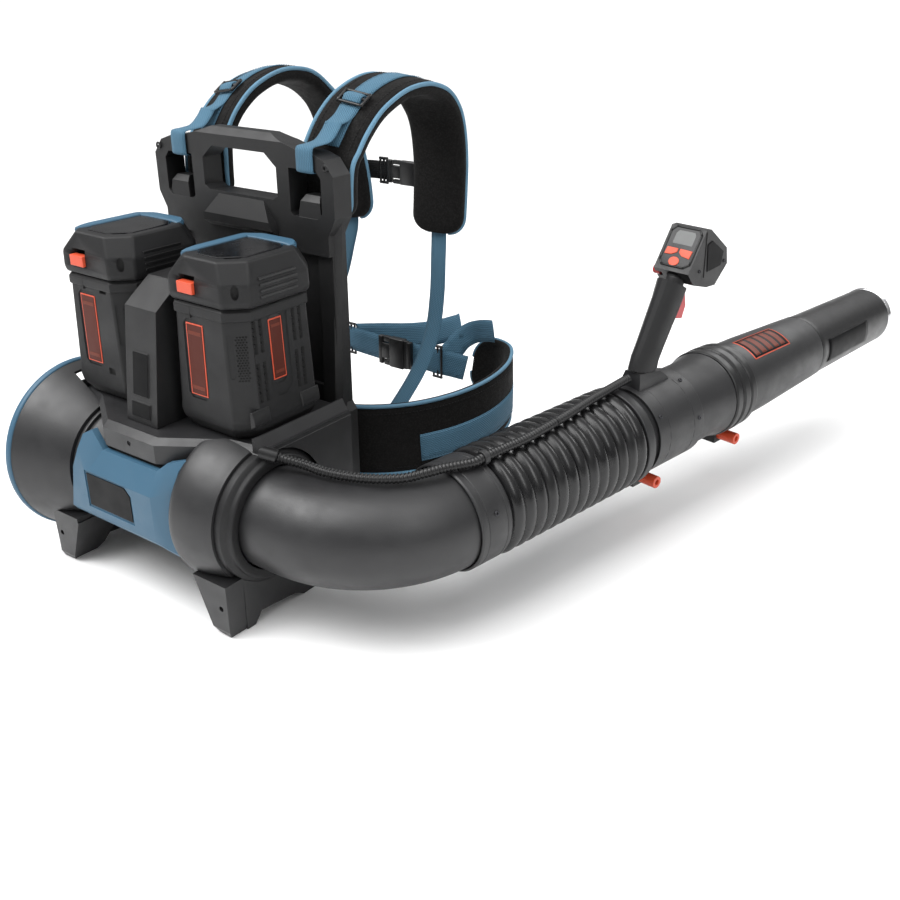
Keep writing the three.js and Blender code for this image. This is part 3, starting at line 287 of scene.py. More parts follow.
def baked(o):
    """Applies every modifier."""
    dg = bpy.context.evaluated_depsgraph_get()
    me = bpy.data.meshes.new_from_object(o.evaluated_get(dg))
    old = o.data
    o.modifiers.clear()
    o.data = me
    if not me.materials and old.materials:
        me.materials.append(old.materials[0])
    return o


def weighted(o):
    """Large flat faces keep their own shading beside cuts and fillets."""
    m = o.modifiers.new("weighted", "WEIGHTED_NORMAL")
    m.keep_sharp = True
    m.weight = 90
    return o


def finish(o, body, nodes=(), angle=35):
    if angle:
        shade(o, angle)
    if nodes:
        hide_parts(*nodes)
    if isinstance(body, str):
        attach(o, body)
    elif body:
        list(body)
        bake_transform(o)
    return o


def joined(name, objs):
    verts, faces, mats, idx, uv = [], [], [], [], []
    any_uv = any(o.data.uv_layers for o in objs)
    for o in objs:
        base = len(verts)
        verts += [o.matrix_world @ v.co for v in o.data.vertices]
        slots = []
        for m in o.data.materials:
            if m not in mats:
                mats.append(m)
            slots.append(mats.index(m))
        layer = o.data.uv_layers[0].data if o.data.uv_layers else None
        for p in o.data.polygons:
            faces.append([base + i for i in p.vertices])
            idx.append((slots[p.material_index] if slots else 0, p.use_smooth))
            uv += [tuple(layer[li].uv) if layer else (0.0, 0.0) for li in p.loop_indices]
    me = bpy.data.meshes.new(name)
    me.from_pydata([tuple(v) for v in verts], [], faces)
    for m in mats:
        me.materials.append(m)
    for p, (mi, sm) in zip(me.polygons, idx):
        p.material_index = mi
        p.use_smooth = sm
    if any_uv:
        layer = me.uv_layers.new(name="UVMap")
        for i, c in enumerate(uv):
            layer.data[i].uv = c
    me.update()
    out = bpy.data.objects.new(name, me)
    scene.collection.objects.link(out)
    for o in objs:
        bpy.data.objects.remove(o)
    return out


def softened(node, width, material, body, segments=3, limit=24, dissolve=2.0, extra=()):
    """The CAD node's own shape with its edges rounded."""
    src = NODES[node]
    dg = bpy.context.evaluated_depsgraph_get()
    me = bpy.data.meshes.new_from_object(src.evaluated_get(dg))
    me.transform(src.matrix_world)
    me.materials.clear()
    me.materials.append(material)
    bm = bmesh.new()
    bm.from_mesh(me)
    bmesh.ops.remove_doubles(bm, verts=bm.verts, dist=2e-5)
    if dissolve:
        bmesh.ops.dissolve_limit(bm, angle_limit=math.radians(dissolve), verts=bm.verts, edges=bm.edges)
    bmesh.ops.remove_doubles(bm, verts=bm.verts, dist=1e-4)
    for f in bm.faces:
        f.smooth = True
    bm.to_mesh(me)
    bm.free()
    o = bpy.data.objects.new("vis_" + node, me)
    scene.collection.objects.link(o)
    b = o.modifiers.new("bevel", "BEVEL")
    b.width = width / 1000
    b.segments = segments
    b.limit_method = "ANGLE"
    b.angle_limit = math.radians(limit)
    b.use_clamp_overlap = True
    b.miter_outer = "MITER_ARC"
    baked(o)
    shade(o, 40)
    if extra:
        o = joined("vis_" + node, [o, *extra])
    weighted(o)
    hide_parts(node)
    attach(o, body)
    return o


def rounded(profile, r, n=3):
    """Fillets the corners of a closed profile."""
    out = []
    k = len(profile)
    for i in range(k):
        p0, p, p1 = Vector(profile[i - 1]), Vector(profile[i]), Vector(profile[(i + 1) % k])
        a, b = p0 - p, p1 - p
        if a.length < 1e-6 or b.length < 1e-6:
            continue
        turn = math.degrees(a.angle(b))
        if turn > 158:
            out.append(tuple(p))
            continue
        d = min(r, a.length * 0.42, b.length * 0.42)
        s, e = p + a.normalized() * d, p + b.normalized() * d
        for j in range(n + 1):
            t = j / n
            q = s * (1 - t) ** 2 + p * 2 * t * (1 - t) + e * t * t
            out.append(tuple(q))
    return out


def smooth_chain(points, sub=4):
    """Catmull-Rom through the points."""
    pts = [Vector(p) for p in points]
    out = []
    for i in range(len(pts) - 1):
        p0 = pts[i - 1] if i else pts[0] * 2 - pts[1]
        p3 = pts[i + 2] if i + 2 < len(pts) else pts[-1] * 2 - pts[-2]
        p1, p2 = pts[i], pts[i + 1]
        for j in range(sub):
            t = j / sub
            out.append(0.5 * (2 * p1 + (p2 - p0) * t + (2 * p0 - 5 * p1 + 4 * p2 - p3) * t * t + (3 * p1 - p0 - 3 * p2 + p3) * t ** 3))
    out.append(pts[-1])
    return out


def revolve(name, profile, place, material, segs=96):
    """place(s, radius, angle) gives a point. The profile is closed."""
    verts, faces = [], []
    k = len(profile)
    for j in range(segs):
        a = 2 * math.pi * j / segs
        for s, r in profile:
            verts.append(place(s, r, a))
    for j in range(segs):
        j2 = (j + 1) % segs
        for i in range(k):
            i2 = (i + 1) % k
            faces.append([j * k + i, j * k + i2, j2 * k + i2, j2 * k + i])
    o = mesh_object(name, verts, faces, material)
    recalc(o)
    return shade(o, 35)


def on_fan(s, r, a):
    return W(s, 74 + r * math.cos(a), 129 + r * math.sin(a))


def on_tube(s, r, a):
    return T(s, r * math.cos(a), r * math.sin(a))


def on_elbow(s, r, a):
    """s from 0 at x 152 along the elbow's centre line."""
    lead = 48.5
    arc = BEND * SWEEP
    if s <= lead:
        c, t = W(152 + s, 74, 129), X.copy()
    elif s <= lead + arc:
        q = (s - lead) / BEND
        c = W(200.5, 74, 129) + (X * math.sin(q) + INW * (1 - math.cos(q))) * BEND / 1000
        t = X * math.cos(q) + INW * math.sin(q)
    else:
        c, t = T(s - lead - arc, 0, 0), N.copy()
    side = t.cross(X.cross(INW)).normalized()
    up = X.cross(INW).normalized()
    return c + (side * math.cos(a) + up * math.sin(a)) * r / 1000


def tube_path(name, points, radius, material, sides=16, corr=0.0, pitch=3.2, cap=True):
    """Round cord through points (metres); corr gives it corrugations."""
    path = smooth_chain(points, 12)
    total = [0.0]
    for a, b in zip(path, path[1:]):
        total.append(total[-1] + (b - a).length)
    step = pitch / 1000 / 6 if corr else 0.004
    n = max(4, int(total[-1] / step))
    verts, faces, uvs = [], [], []
    ref = None
    k = 0
    for i in range(n + 1):
        d = total[-1] * i / n
        while k < len(path) - 2 and total[k + 1] < d:
            k += 1
        t = (d - total[k]) / max(1e-9, total[k + 1] - total[k])
        p = path[k].lerp(path[k + 1], t)
        tan = (path[k + 1] - path[k]).normalized()
        if ref is None:
            ref = tan.orthogonal().normalized()
        ref = (ref - tan * ref.dot(tan)).normalized()
        bi = tan.cross(ref)
        r = radius / 1000 * (1 + (corr * math.sin(2 * math.pi * d * 1000 / pitch) if corr else 0))
        for j in range(sides):
            a = 2 * math.pi * j / sides
            verts.append(p + (ref * math.cos(a) + bi * math.sin(a)) * r)
            uvs.append((d, j / sides * 2 * math.pi * radius / 1000))
    for i in range(n):
        for j in range(sides):
            j2 = (j + 1) % sides
            faces.append([i * sides + j, i * sides + j2, (i + 1) * sides + j2, (i + 1) * sides + j])
    if cap:
        faces.append(list(range(sides))[::-1])
        faces.append([n * sides + j for j in range(sides)])
    o = mesh_object(name, verts, faces, material, uvs)
    recalc(o)
    return shade(o, 50)


def strip(name, entries, material, round_edge=0.5, sub=6, section=None, across=None):
    """Band along a path. Each entry: (point, width direction, width, thickness)
    with millimetre sizes. The section is a rounded slab, denser across if asked."""
    cols = smooth_chain([(e[0].x, e[0].y, e[0].z) for e in entries], sub)
    wid = smooth_chain([tuple(e[1]) for e in entries], sub)
    siz = smooth_chain([(e[2], e[3], 0) for e in entries], sub)
    verts, faces, uvs = [], [], []
    d = 0.0
    m = across or 4
    rim = []
    for q in range(m + 1):
        v = -1 + 2 * q / m
        rim.append((v, 1))
    for q in range(m + 1):
        v = 1 - 2 * q / m
        rim.append((v, -1))
    k = len(rim) + 2 * 0
    n = len(cols)
    for i in range(n):
        tan = (cols[min(i + 1, n - 1)] - cols[max(i - 1, 0)]).normalized()
        w = (wid[i] - tan * wid[i].dot(tan)).normalized()
        nor = tan.cross(w).normalized()
        if i:
            d += (cols[i] - cols[i - 1]).length
        hw, ht = siz[i].x / 2000, siz[i].y / 2000
        for v, side in rim:
            edge = max(0.0, abs(v) - (1 - round_edge)) / max(1e-6, round_edge)
            prof = math.sqrt(max(0.0, 1 - edge * edge)) if round_edge else 1.0
            prof = max(prof, 0.12)
            verts.append(cols[i] + w * (v * hw) + nor * (side * ht * prof))
            uvs.append((d, v * hw))
    for i in range(n - 1):
        for j in range(k):
            j2 = (j + 1) % k
            faces.append([i * k + j, i * k + j2, (i + 1) * k + j2, (i + 1) * k + j])
    faces.append(list(range(k))[::-1])
    faces.append([(n - 1) * k + j for j in range(k)])
    o = mesh_object(name, verts, faces, material, uvs)
    recalc(o)
    return shade(o, 40)


def prism(name, pts, d, material, bevel=0.0, segments=2):
    """Closed polygon of points (metres) raised by the vector d."""
    n = len(pts)
    verts = [Vector(p) for p in pts] + [Vector(p) + d for p in pts]
    faces = [list(range(n))[::-1], list(range(n, 2 * n))]
    for i in range(n):
        j = (i + 1) % n
        faces.append([i, j, n + j, n + i])
    o = mesh_object(name, verts, faces, material)
    recalc(o)
    if bevel:
        b = o.modifiers.new("bevel", "BEVEL")
        b.width = bevel / 1000
        b.segments = segments
        b.limit_method = "ANGLE"
        b.angle_limit = math.radians(20)
        baked(o)
    return shade(o, 35)


def loft(name, rings, material, bevel=0.0, segments=3, limit=24):
    k = len(rings[0])
    verts = [p for r in rings for p in r]
    faces = [list(range(k))[::-1], [(len(rings) - 1) * k + j for j in range(k)]]
    for i in range(len(rings) - 1):
        for j in range(k):
            j2 = (j + 1) % k
            faces.append([i * k + j, i * k + j2, (i + 1) * k + j2, (i + 1) * k + j])
    o = mesh_object(name, verts, faces, material)
    recalc(o)
    if bevel:
        b = o.modifiers.new("bevel", "BEVEL")
        b.width = bevel / 1000
        b.segments = segments
        b.limit_method = "ANGLE"
        b.angle_limit = math.radians(limit)
        baked(o)
    return shade(o, 35)


def carved(o, cutters, inner=None):
    """Cuts the cutters out; their walls take the inner material."""
    c = joined("cutter", cutters)
    c.data.materials.clear()
    if inner is not None:
        if inner.name not in [m.name for m in o.data.materials]:
            o.data.materials.append(inner)
        c.data.materials.append(inner)
    b = o.modifiers.new("cut", "BOOLEAN")
    b.operation = "DIFFERENCE"
    b.solver = "EXACT"
    b.material_mode = "TRANSFER"
    b.object = c
    baked(o)
    bpy.data.objects.remove(c)
    return shade(o, 35)


def disc(name, centre, axis, r, thick, material, segs=32, hollow=0.0):
    axis = axis.normalized()
    a = axis.orthogonal().normalized()
    b = axis.cross(a)
    pts = [(0.0, hollow), (0.0, r - 0.4), (0.4, r), (thick - 0.5, r), (thick, r - 0.5), (thick, hollow)]
    if hollow <= 0:
        pts[0], pts[-1] = (0.0, 0.001), (thick, 0.001)

    def place(s, rr, t):
        return centre + axis * (s / 1000) + (a * math.cos(t) + b * math.sin(t)) * rr / 1000

    return revolve(name, pts, place, material, segs)


def hexhead(name, centre, axis, r, material=None):
    """Screw with a socket in its head."""
    return disc(name, centre, axis, r, 1.6, material or SCREW, 24, hollow=r * 0.42)


# ================================================================ fan and duct
bell = smooth_chain([(-182, 112.5), (-172, 109), (-158, 103), (-140, 95.5), (-122, 87), (-109, 80)], 5)
bell_in = smooth_chain([(-109, 67), (-120, 80), (-140, 92), (-158, 99.6), (-172, 105.6), (-182, 109)], 5)


def deck_cutter():
    pts = [(-45, 7.6), (45, 7.6), (116, 54.6), (166.4, 59.6), (166.4, 208.4), (-166.4, 208.4), (-166.4, 59.6), (-116, 54.6)]
    return prism("deck_cutter", [W(x, y, 203) for x, y in pts], Vector((0, 0, 0.13)), CHAR)


o = revolve("inlet_bell_skin", [(p.x, p.y) for p in bell + bell_in], on_fan, CHAR, 128)
finish(carved(o, [deck_cutter()]), "blower", ["inlet_bell"])
rim = rounded([(-182.4, 105), (-182.4, 113.6), (-185, 115), (-190, 115), (-193, 112.5), (-193, 107), (-190, 104.4)], 1.6, 4)
finish(revolve("rim_ring_blue", rim, on_fan, BLUE, 128), "blower", ["inlet_rim_ring"])
parts = []
for r in (46, 74, 102.6):
    parts.append(revolve("g", rounded([(-188.4, r - 2.4), (-185.6, r - 2.4), (-185.6, r), (-188.4, r)], 0.8, 3), on_fan, CHAR, 96))
parts.append(revolve("g", rounded([(-188.5, 0.01), (-188.5, 15), (-187.4, 17), (-185.5, 17), (-185.5, 0.01)], 0.6, 2), on_fan, CHAR, 48))
for k in range(8):
    a = 2 * math.pi * (k + 0.5) / 8
    parts.append(tube_path("g", [on_fan(-187, 12, a), on_fan(-187, 56, a), on_fan(-187, 101.5, a)], 1.4, CHAR, 10))
finish(joined("intake_grille", parts), "blower", ["inlet_guard"])
o = revolve("duct_barrel", rounded([(-108.6, 66), (-108.6, 76), (-103, 76), (-103, 71), (64, 71), (64, 74), (69.6, 74), (69.6, 66)], 1.0), on_fan, CHAR, 96)
finish(carved(o, [deck_cutter()]), "blower", ["fan_housing"])
outer = smooth_chain([(70, 73), (77, 78), (84, 87), (91, 93), (100, 94.4), (120, 92.6), (140, 88), (150, 84.5)], 4)
prof = [(p.x, p.y) for p in outer] + [(150, 64), (120, 64.4), (70, 66)]
finish(carved(revolve("outlet_bell_skin", prof, on_fan, CHAR, 128), [deck_cutter()]), "blower", ["outlet_bell"])
prof = rounded([(150.35, 63), (150.35, 81), (160, 81), (162, 79), (164, 75), (169, 74), (170, 72), (170, 63)], 0.9)
finish(revolve("outlet_collar_skin", prof, on_fan, SOFT, 128), "blower", ["outlet_collar"])

# Blue cover with a recessed blank plate and a bevelled lip.
plate = prism("cover_plate", [W(x, -8.6, z) for x, z in [(-69, 106), (11, 106), (11, 140), (2, 149), (-69, 149)]], Vector((0, -0.0009, 0)), PLATE, 0.4)
softened("housing_cover", 1.8, BLUE, "blower", extra=[plate])

# ======================================================== stand, deck and tower
# Near-black discs at the stand's screw holes are painted shade.
screw_hole_shade = [disc("s", W(sx * 149, -3, 38), Vector((0, -1, 0)), 3.4, 1.0, RECESS_SHADE_AND_SEAM) for sx in (1, -1)]
softened("stand", 2.4, CHAR, "blower", extra=screw_hole_shade)
bits = []
for sx in (1, -1):
    bits.append(hexhead("s", W(sx * 114.8, 44.5, 199), Vector((sx * 0.55, -0.83, 0)), 3.0))
bits.append(hexhead("s", W(0, 11, 200), Vector((0, -1, 0)), 3.0))
softened("battery_deck", 1.8, CHAR, "blower", extra=bits)
plates = []
def tower_plate(z0, z1, x0, x1):
    lo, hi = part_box("control_tower")
    out = []
    for dy, g, m in ((-0.0006, 0.0, PLATE),):
        pts = [W(x0 + g, 0, z0 + g), W(x1 - g, 0, z0 + g), W(x1 - g, 0, z1 - g), W(x0 + g, 0, z1 - g)]
        for q in pts:
            q.y = tower_y(q.z)
        out.append(prism("plate", pts, Vector((0, dy, 0)), m, 0.3))
    return out


def tower_y(z):
    """Front of the tower's plates at height z, from the CAD node's own surface."""
    src = NODES["control_tower"]
    inv = src.matrix_world.inverted()
    hit, loc, nor, idx = src.ray_cast(inv @ Vector((0.0, -1.0, z)), (inv.to_3x3() @ Vector((0, 1, 0))).normalized())
    return (src.matrix_world @ loc).y if hit else -0.22


plates += tower_plate(251, 301, -13, 13) + tower_plate(225, 242, -16, 16)
softened("control_tower", 1.2, FRAMEM, "blower", extra=plates)
softened("back_frame", 2.2, FRAMEM, "blower", dissolve=0, extra=[
    disc("s", W(sx * 140, 212.5, 497), Vector((0, -1, 0)), 4.4, 1.6, SMOOTH, hollow=2.0) for sx in (1, -1)
])

# ==================================================================== batteries
def hx_at(z):
    return 56 - 5.5 * (z - 248) / 122


def hy_at(z):
    return 65.5 - 3.0 * (z - 248) / 122


def ring(cx, hx, hy, ch, z):
    a, b, c, d = ch
    pts = [(-hx, -hy + a), (-hx + a, -hy), (hx - b, -hy), (hx, -hy + b), (hx, hy - c), (hx - c, hy), (-hx + d, hy), (-hx, hy - d)]
    return [W(cx + x, 121 + y, z) for x, y in pts]


K = (7, 22, 20, 12)
for side, sx in (("right", 1), ("left", -1)):
    cx = sx * 94
    body = "battery_" + side
    shell = loft("case", [
        ring(cx, 46, 56, (10, 20, 18, 12), 217), ring(cx, 55.5, 64.5, K, 231), ring(cx, 57, 66, K, 241),
        ring(cx, 56, 65.5, K, 248), ring(cx, 50.5, 62.5, K, 369.65),
    ], SOFT, 2.2, 3, 15)

    def front(x, z, d):
        return W(cx + x, 121 - hy_at(z) - d, z)

    def flank(y, z, d):
        return W(cx + hx_at(z) + d, y, z)

    def corner(t, z, d):
        """t from 0 at the front face to 1 at the flank, on the chamfer."""
        hx, hy = hx_at(z), hy_at(z)
        x, y = hx - 22 + 22 * t, -hy + 22 * t
        return W(cx + x + d * 0.707, 121 + y - d * 0.707, z)

    def pocket(at, u0, u1, z0, z1, depth, out=1.0, taper=0.0):
        ring0 = [at(u0 + taper, z0 + taper, -depth), at(u1 - taper, z0 + taper, -depth), at(u1 - taper, z1 - taper, -depth), at(u0 + taper, z1 - taper, -depth)]
        ring1 = [at(u0, z0, out), at(u1, z0, out), at(u1, z1, out), at(u0, z1, out)]
        return loft("p", [ring0, ring1], RECESS_SHADE_AND_SEAM)

    # Two by two upright louvred slots on each side of the centre column.
    cuts, louvres = [], []
    for us in ((79.5, 89), (139, 149)):
        for u0 in us:
            for za, zb in ((262, 308), (318, 362)):
                cuts.append(pocket(flank, u0, u0 + 5.6, za, zb, 3.4, taper=0.8))
                for i in range(4):
                    z = za + 6 + (zb - za - 12) * (i + 0.15) / 3.6
                    louvres.append(loft("lv", [
                        [flank(u0 - 0.5, z, -3.6), flank(u0 + 6, z, -3.6), flank(u0 + 6, z + 4.6, -3.6), flank(u0 - 0.5, z + 4.6, -3.6)],
                        [flank(u0 - 0.5, z + 0.9, -2.2), flank(u0 + 6, z + 0.9, -2.2), flank(u0 + 6, z + 2.6, -2.2), flank(u0 - 0.5, z + 2.6, -2.2)],
                    ], SOFT))
    # The slots' walls take near-black as painted shade.
    shell = carved(shell, cuts, RECESS_SHADE_AND_SEAM)

    def pill(at, uc, hw, z0, z1, ch, d0, d1, m):
        pts = [(uc - hw + ch, z0), (uc + hw - ch, z0), (uc + hw, z0 + ch), (uc + hw, z1 - ch), (uc + hw - ch, z1), (uc - hw + ch, z1), (uc - hw, z1 - ch), (uc - hw, z0 + ch)]
        return loft("p", [[at(u, v, d0) for u, v in pts], [at(u, v, d1) for u, v in pts]], m)

    shell = carved(shell, [pill(flank, 116, 16.5, 262, 370, 10, -1.8, 3, SOFT)], SOFT)
    shell = carved(shell, [pill(flank, 116, 11.5, 276, 356, 6, -3.2, 3, SOFT)], SMOOTH)
    shell = carved(shell, [pill(front, -17.5, 17, 258, 351, 6, -1.5, 3, SOFT)], SOFT)
    if side == "left":
        # These pockets' walls take near-black as painted shade.
        shell = carved(shell, [pocket(front, 8, 20, 352, 360, 3), pocket(front, 8, 20, 252, 260, 3)], RECESS_SHADE_AND_SEAM)
    # Fine honeycomb on the corner beside a shallow capsule; its cells' walls are near-black as painted shade.
    hexes = []
    for i in range(18):
        for j in range(4):
            t = 0.40 + 0.105 * j + (0.052 if i % 2 else 0)
            z = 290 + i * 2.9
            pts = []
            for q in range(6):
                a = math.pi / 3 * q + math.pi / 6
                pts.append((t + 1.25 * math.cos(a) / 31.1, z + 1.25 * math.sin(a)))
            hexes.append(loft("h", [[corner(u, v, -1.2) for u, v in pts], [corner(u, v, 1.0) for u, v in pts]], RECESS_SHADE_AND_SEAM))
    shell = carved(shell, hexes, RECESS_SHADE_AND_SEAM)
    shell = carved(shell, [pill(lambda u, z, d: corner(u / 31.1, z, d), 6.0, 3.4, 292, 342, 2.4, -1.0, 3, SOFT)], SOFT)

    def label(at, u0, u1, z0, z1, lift, name):
        def box(g, l0, l1, m, za=z0, zb=z1):
            return loft(name, [
                [at(u0 + g, za + g, l0), at(u1 - g, za + g, l0), at(u1 - g, zb - g, l0), at(u0 + g, zb - g, l0)],
                [at(u0 + g, za + g, l1), at(u1 - g, za + g, l1), at(u1 - g, zb - g, l1), at(u0 + g, zb - g, l1)],
            ], m, 0.25, 2, 30)
        bands = [box(3.4, lift, lift + 1.15, PRINT, z0 + 2 + (z1 - z0) * k, z0 + 8 + (z1 - z0) * (k + 0.06)) for k in (0.02, 0.78)]
        return [box(0, lift - 0.4, lift + 0.5, ORANGE), box(1.5, lift - 0.3, lift + 0.9, LABEL), *bands]

    extras = louvres + label(front, -31, -4, 262, 346, -1.3, "label")
    extras += label(flank, 106, 126, 281, 351, -3.0, "label")
    # Moulded steps: a waist under the lid and a low ledge round the flank.
    extras.append(loft("waist", [
        [p + Vector((0, 0, 0)) for p in ring(cx, hx_at(356) + 0.9, hy_at(356) + 0.9, K, 356)],
        ring(cx, hx_at(359) + 1.7, hy_at(359) + 1.7, K, 358), ring(cx, hx_at(366) + 1.7, hy_at(366) + 1.7, K, 366), ring(cx, hx_at(368) + 0.2, hy_at(368) + 0.2, K, 368),
    ], SOFT, 0.5))
    for y0, y1 in ((63, 92), (140, 172)):
        extras.append(loft("ledge", [
            [W(cx + 54, y0, 236), W(cx + 54, y1, 236), W(cx + 58.9, y1 - 2, 239), W(cx + 58.9, y0 + 2, 239)],
            [W(cx + 54, y0, 250), W(cx + 54, y1, 250), W(cx + 58.4, y1 - 2, 248), W(cx + 58.4, y0 + 2, 248)],
            [W(cx + 54, y0, 256), W(cx + 54, y1, 256), W(cx + 56.0, y1 - 2, 256), W(cx + 56.0, y0 + 2, 256)],
        ], SMOOTH, 0.8))
    extras.append(loft("seam", [
        [front(-20.4, 353, -0.2), front(-19.6, 353, -0.2), front(-19.6, 366, -0.2), front(-20.4, 366, -0.2)],
        [front(-20.4, 353, 1.75), front(-19.6, 353, 1.75), front(-19.6, 366, 1.75), front(-20.4, 366, 1.75)],
    ], RECESS_SHADE_AND_SEAM))
    o = weighted(joined("battery_%s_shell" % side, [shell, *extras]))
    finish(o, body, ["battery_%s_case" % side], None)

    lid = loft("lid", [
        ring(cx, 54, 64, K, 370), ring(cx, 56, 66, K, 376), ring(cx, 55.5, 65.5, K, 396),
        ring(cx, 46, 58, (18, 24, 22, 18), 420),
    ], SOFT, 3.0, 4, 15)
    well = loft("w", [ring(cx, 31, 42, (10, 10, 10, 10), 415), ring(cx, 33, 44, (10, 10, 10, 10), 425)], SOFT)
    # The slot in the lid and its walls are near-black as painted shade.
    slot = prism("p", [W(cx + x, 50, z) for x, z in ((-31, 381.2), (-6, 381.2), (-6, 401), (-31, 401))], Vector((0, 0.018, 0)), RECESS_SHADE_AND_SEAM)
    lid = carved(lid, [well], SOFT)
    lid = carved(lid, [slot], RECESS_SHADE_AND_SEAM)
    # Upright oval recess on the corner of the lid, its walls near-black as painted shade.
    def lid_corner(u, z, d):
        return W(cx + 55.5 - 22 + (u + 11) * 0.707 + d * 0.707, 121 - 65.5 + (u + 11) * 0.707 - d * 0.707 + 0.2, z)

    oval = [(4.4 * math.cos(t), 389.5 + 8.2 * math.sin(t)) for t in [math.pi * i / 12 for i in range(24)]]
    lid = carved(lid, [loft("p", [[lid_corner(u + 4, z, -4.5) for u, z in oval], [lid_corner(u + 4, z, 3) for u, z in oval]], RECESS_SHADE_AND_SEAM)], RECESS_SHADE_AND_SEAM)
    bits = []
    # Stepped grip ribs on the flank side of the lid.
    for i in range(4):
        z = 379 + i * 6.6
        w = 0.0 if z < 394 else (z - 394) * 0.32
        bits.append(prism("rib", [W(cx + 54.8 - w, y, z) for y in (92, 148)] + [W(cx + 54.8 - w, 148, z + 3.2), W(cx + 54.8 - w, 92, z + 3.2)], Vector((0.0020, 0, 0)), SMOOTH, 0.6))
    # Gloss insert filling the top, with the blue C-shaped trim round it.
    def c_ring(g, z):
        return ring(cx, 41 - g, 53 - g, (16, 22, 20, 16), z)

    bits.append(loft("insert", [c_ring(6, 414), c_ring(6, 420.6), c_ring(8, 421.2)], GLOSS, 0.6))
    # (x, y, inward x, inward y, width, drop)
    path = [(-42.5, -49, 1, 0, 4.5, 2.2), (-42.5, -42, 1, 0, 8.5, 0.8), (-42.5, -30, 1, 0, 12.5, 0), (-42.5, 38, 1, 0, 13.0, 0),
            (-41, 42, 0.93, -0.37, 14.5, 0), (-23, 54.5, 0.37, -0.93, 17.0, 0), (-16, 56, 0.02, -1, 17.5, 0), (26, 56, 0, -1, 17.5, 0), (33, 53, -0.25, -0.97, 14.5, 0.5), (38.5, 46, -0.4, -0.91, 8, 1.8)]
    rings = []
    for x, y, dx, dy, w, drop in path:
        prof = [(0.0, 417.4), (0.0, 420.4), (2.2, 423.4), (w - 1.0, 422.4), (w, 421.0), (w, 417.6)]
        rings.append([W(cx + x + dx * q, 121 + y + dy * q, z - drop) for q, z in prof])
    finish(loft("battery_%s_trim" % side, rings, BLUE, 0.5), body, ["battery_%s_handle" % side], None)
    o = weighted(joined("battery_%s_top" % side, [lid, *bits]))
    finish(o, body, ["battery_%s_lid" % side], None)
    softened("battery_%s_latch" % side, 1.0, ORANGE, "latch_" + side)

# ==================================================================== blow tube
arc_end = 48.5 + BEND * SWEEP + 14
prof = [(s, 61) for s in [2] + [2 + (arc_end - 4) * i / 60 for i in range(1, 60)] + [arc_end - 2]]
prof = [(0.0, 60), *prof, (arc_end, 60.4), (arc_end, 58.4)] + [(s, 58.4) for s in [arc_end * i / 60 for i in range(59, 0, -1)]] + [(0.0, 58.4)]
finish(revolve("elbow_skin", prof, on_elbow, CHAR, 96), "elbow_body", ["elbow"])
parts = [revolve("ring", rounded([(-4, 62.4), (-4, 64), (-2, 65.5), (5.4, 65.5), (5.8, 64.9), (6.6, 64.9), (7, 65.5), (33.6, 65.5), (34, 64.9), (34.8, 64.9), (35.2, 65.5), (40, 65.5), (43, 64), (43, 61.4), (4, 61.4), (3, 62.4)], 0.4, 2), on_tube, CHAR, 96)]
cd = Vector((0.289, 0.957))
parts.append(revolve("clip", rounded([(36, 5.9), (36, 8.6), (43, 8.6), (43, 5.9)], 0.6, 2), lambda s, r, a: T(s, cd.x * 73 + r * math.cos(a), cd.y * 73 + r * math.sin(a)), CHAR, 32))
for ang in (0.35, 2.4, 4.4):
    parts.append(hexhead("s", T(20, 65.2 * math.cos(ang), 65.2 * math.sin(ang)), RT * math.cos(ang) + UP * math.sin(ang), 3.2))
finish(joined("clamp_ring_skin", parts), "elbow_body", ["elbow_clamp_ring"], None)

# Ribbed hose in two lengths that meet between the yaw and the pitch joint.
def hose(s0, s1, name):
    prof = []
    pitch = (300 - 12 - 48) / 13
    n = int((s1 - s0) / 1.1)
    for i in range(n + 1):
        s = s0 + (s1 - s0) * i / n
        if s < 46 or s > 288:
            r = 60.6
        else:
            ph = ((s - 48) % pitch) / pitch
            r = 61.2 + 5.9 * abs(math.sin(math.pi * ph)) ** 0.55
            r = min(r, 60.6 + max(0, s - 46) * 1.6, 60.6 + max(0, 288 - s) * 1.6)
        prof.append((s, r))
    return prof + [(s1, 57.2)] + [(s0 + (s1 - s0) * i / 24, 57.2) for i in range(23, 0, -1)] + [(s0, 57.2)]


mid = 161.0
finish(revolve("hose_rear", hose(15, mid, "a"), on_tube, HOSE, 96), ("elbow_body", "hose", T(50, 0, 0), T(150, 0, 0)), ["bellows"])
finish(revolve("hose_front", hose(mid, 300, "b"), on_tube, HOSE, 96), ("hose", "blow_tube", T(172, 0, 0), T(284, 0, 0)), ["bellows"])

prof = rounded([(288.5, 61), (288.5, 66.5), (302, 66.5), (306, 57.5), (468, 56.5), (487, 60.5), (491, 60.5), (491.5, 58.6), (535, 58.6), (535, 57.4), (494, 57.4), (474, 53.6), (306, 54.5), (302, 61)], 1.6, 4)
finish(revolve("tube_1_skin", prof, on_tube, CHAR, 96), "blow_tube", ["tube_1"])
parts = [revolve("band", rounded([(318, 57.9), (318, 61.5), (338, 61.5), (338.4, 60.9), (339.4, 60.9), (339.8, 61.5), (390, 61.5), (390.4, 60.9), (391.4, 60.9), (391.8, 61.5), (412, 61.5), (412, 57.9)], 0.5, 2), on_tube, CHAR, 96)]
for s, ang in ((402, 1.15), (402, 0.2), (328, 0.6)):
    parts.append(hexhead("s", T(s, 61.2 * math.cos(ang), 61.2 * math.sin(ang)), RT * math.cos(ang) + UP * math.sin(ang), 3.0))
softened("handle_clamp", 1.4, CHAR, "blow_tube", extra=parts, dissolve=4)
for node, body, mt in (("lock_pin_rear", "knob_rear", ORANGE), ("lock_pin_front", "knob_front", ORANGE)):
    softened(node, 0.8, mt, body)
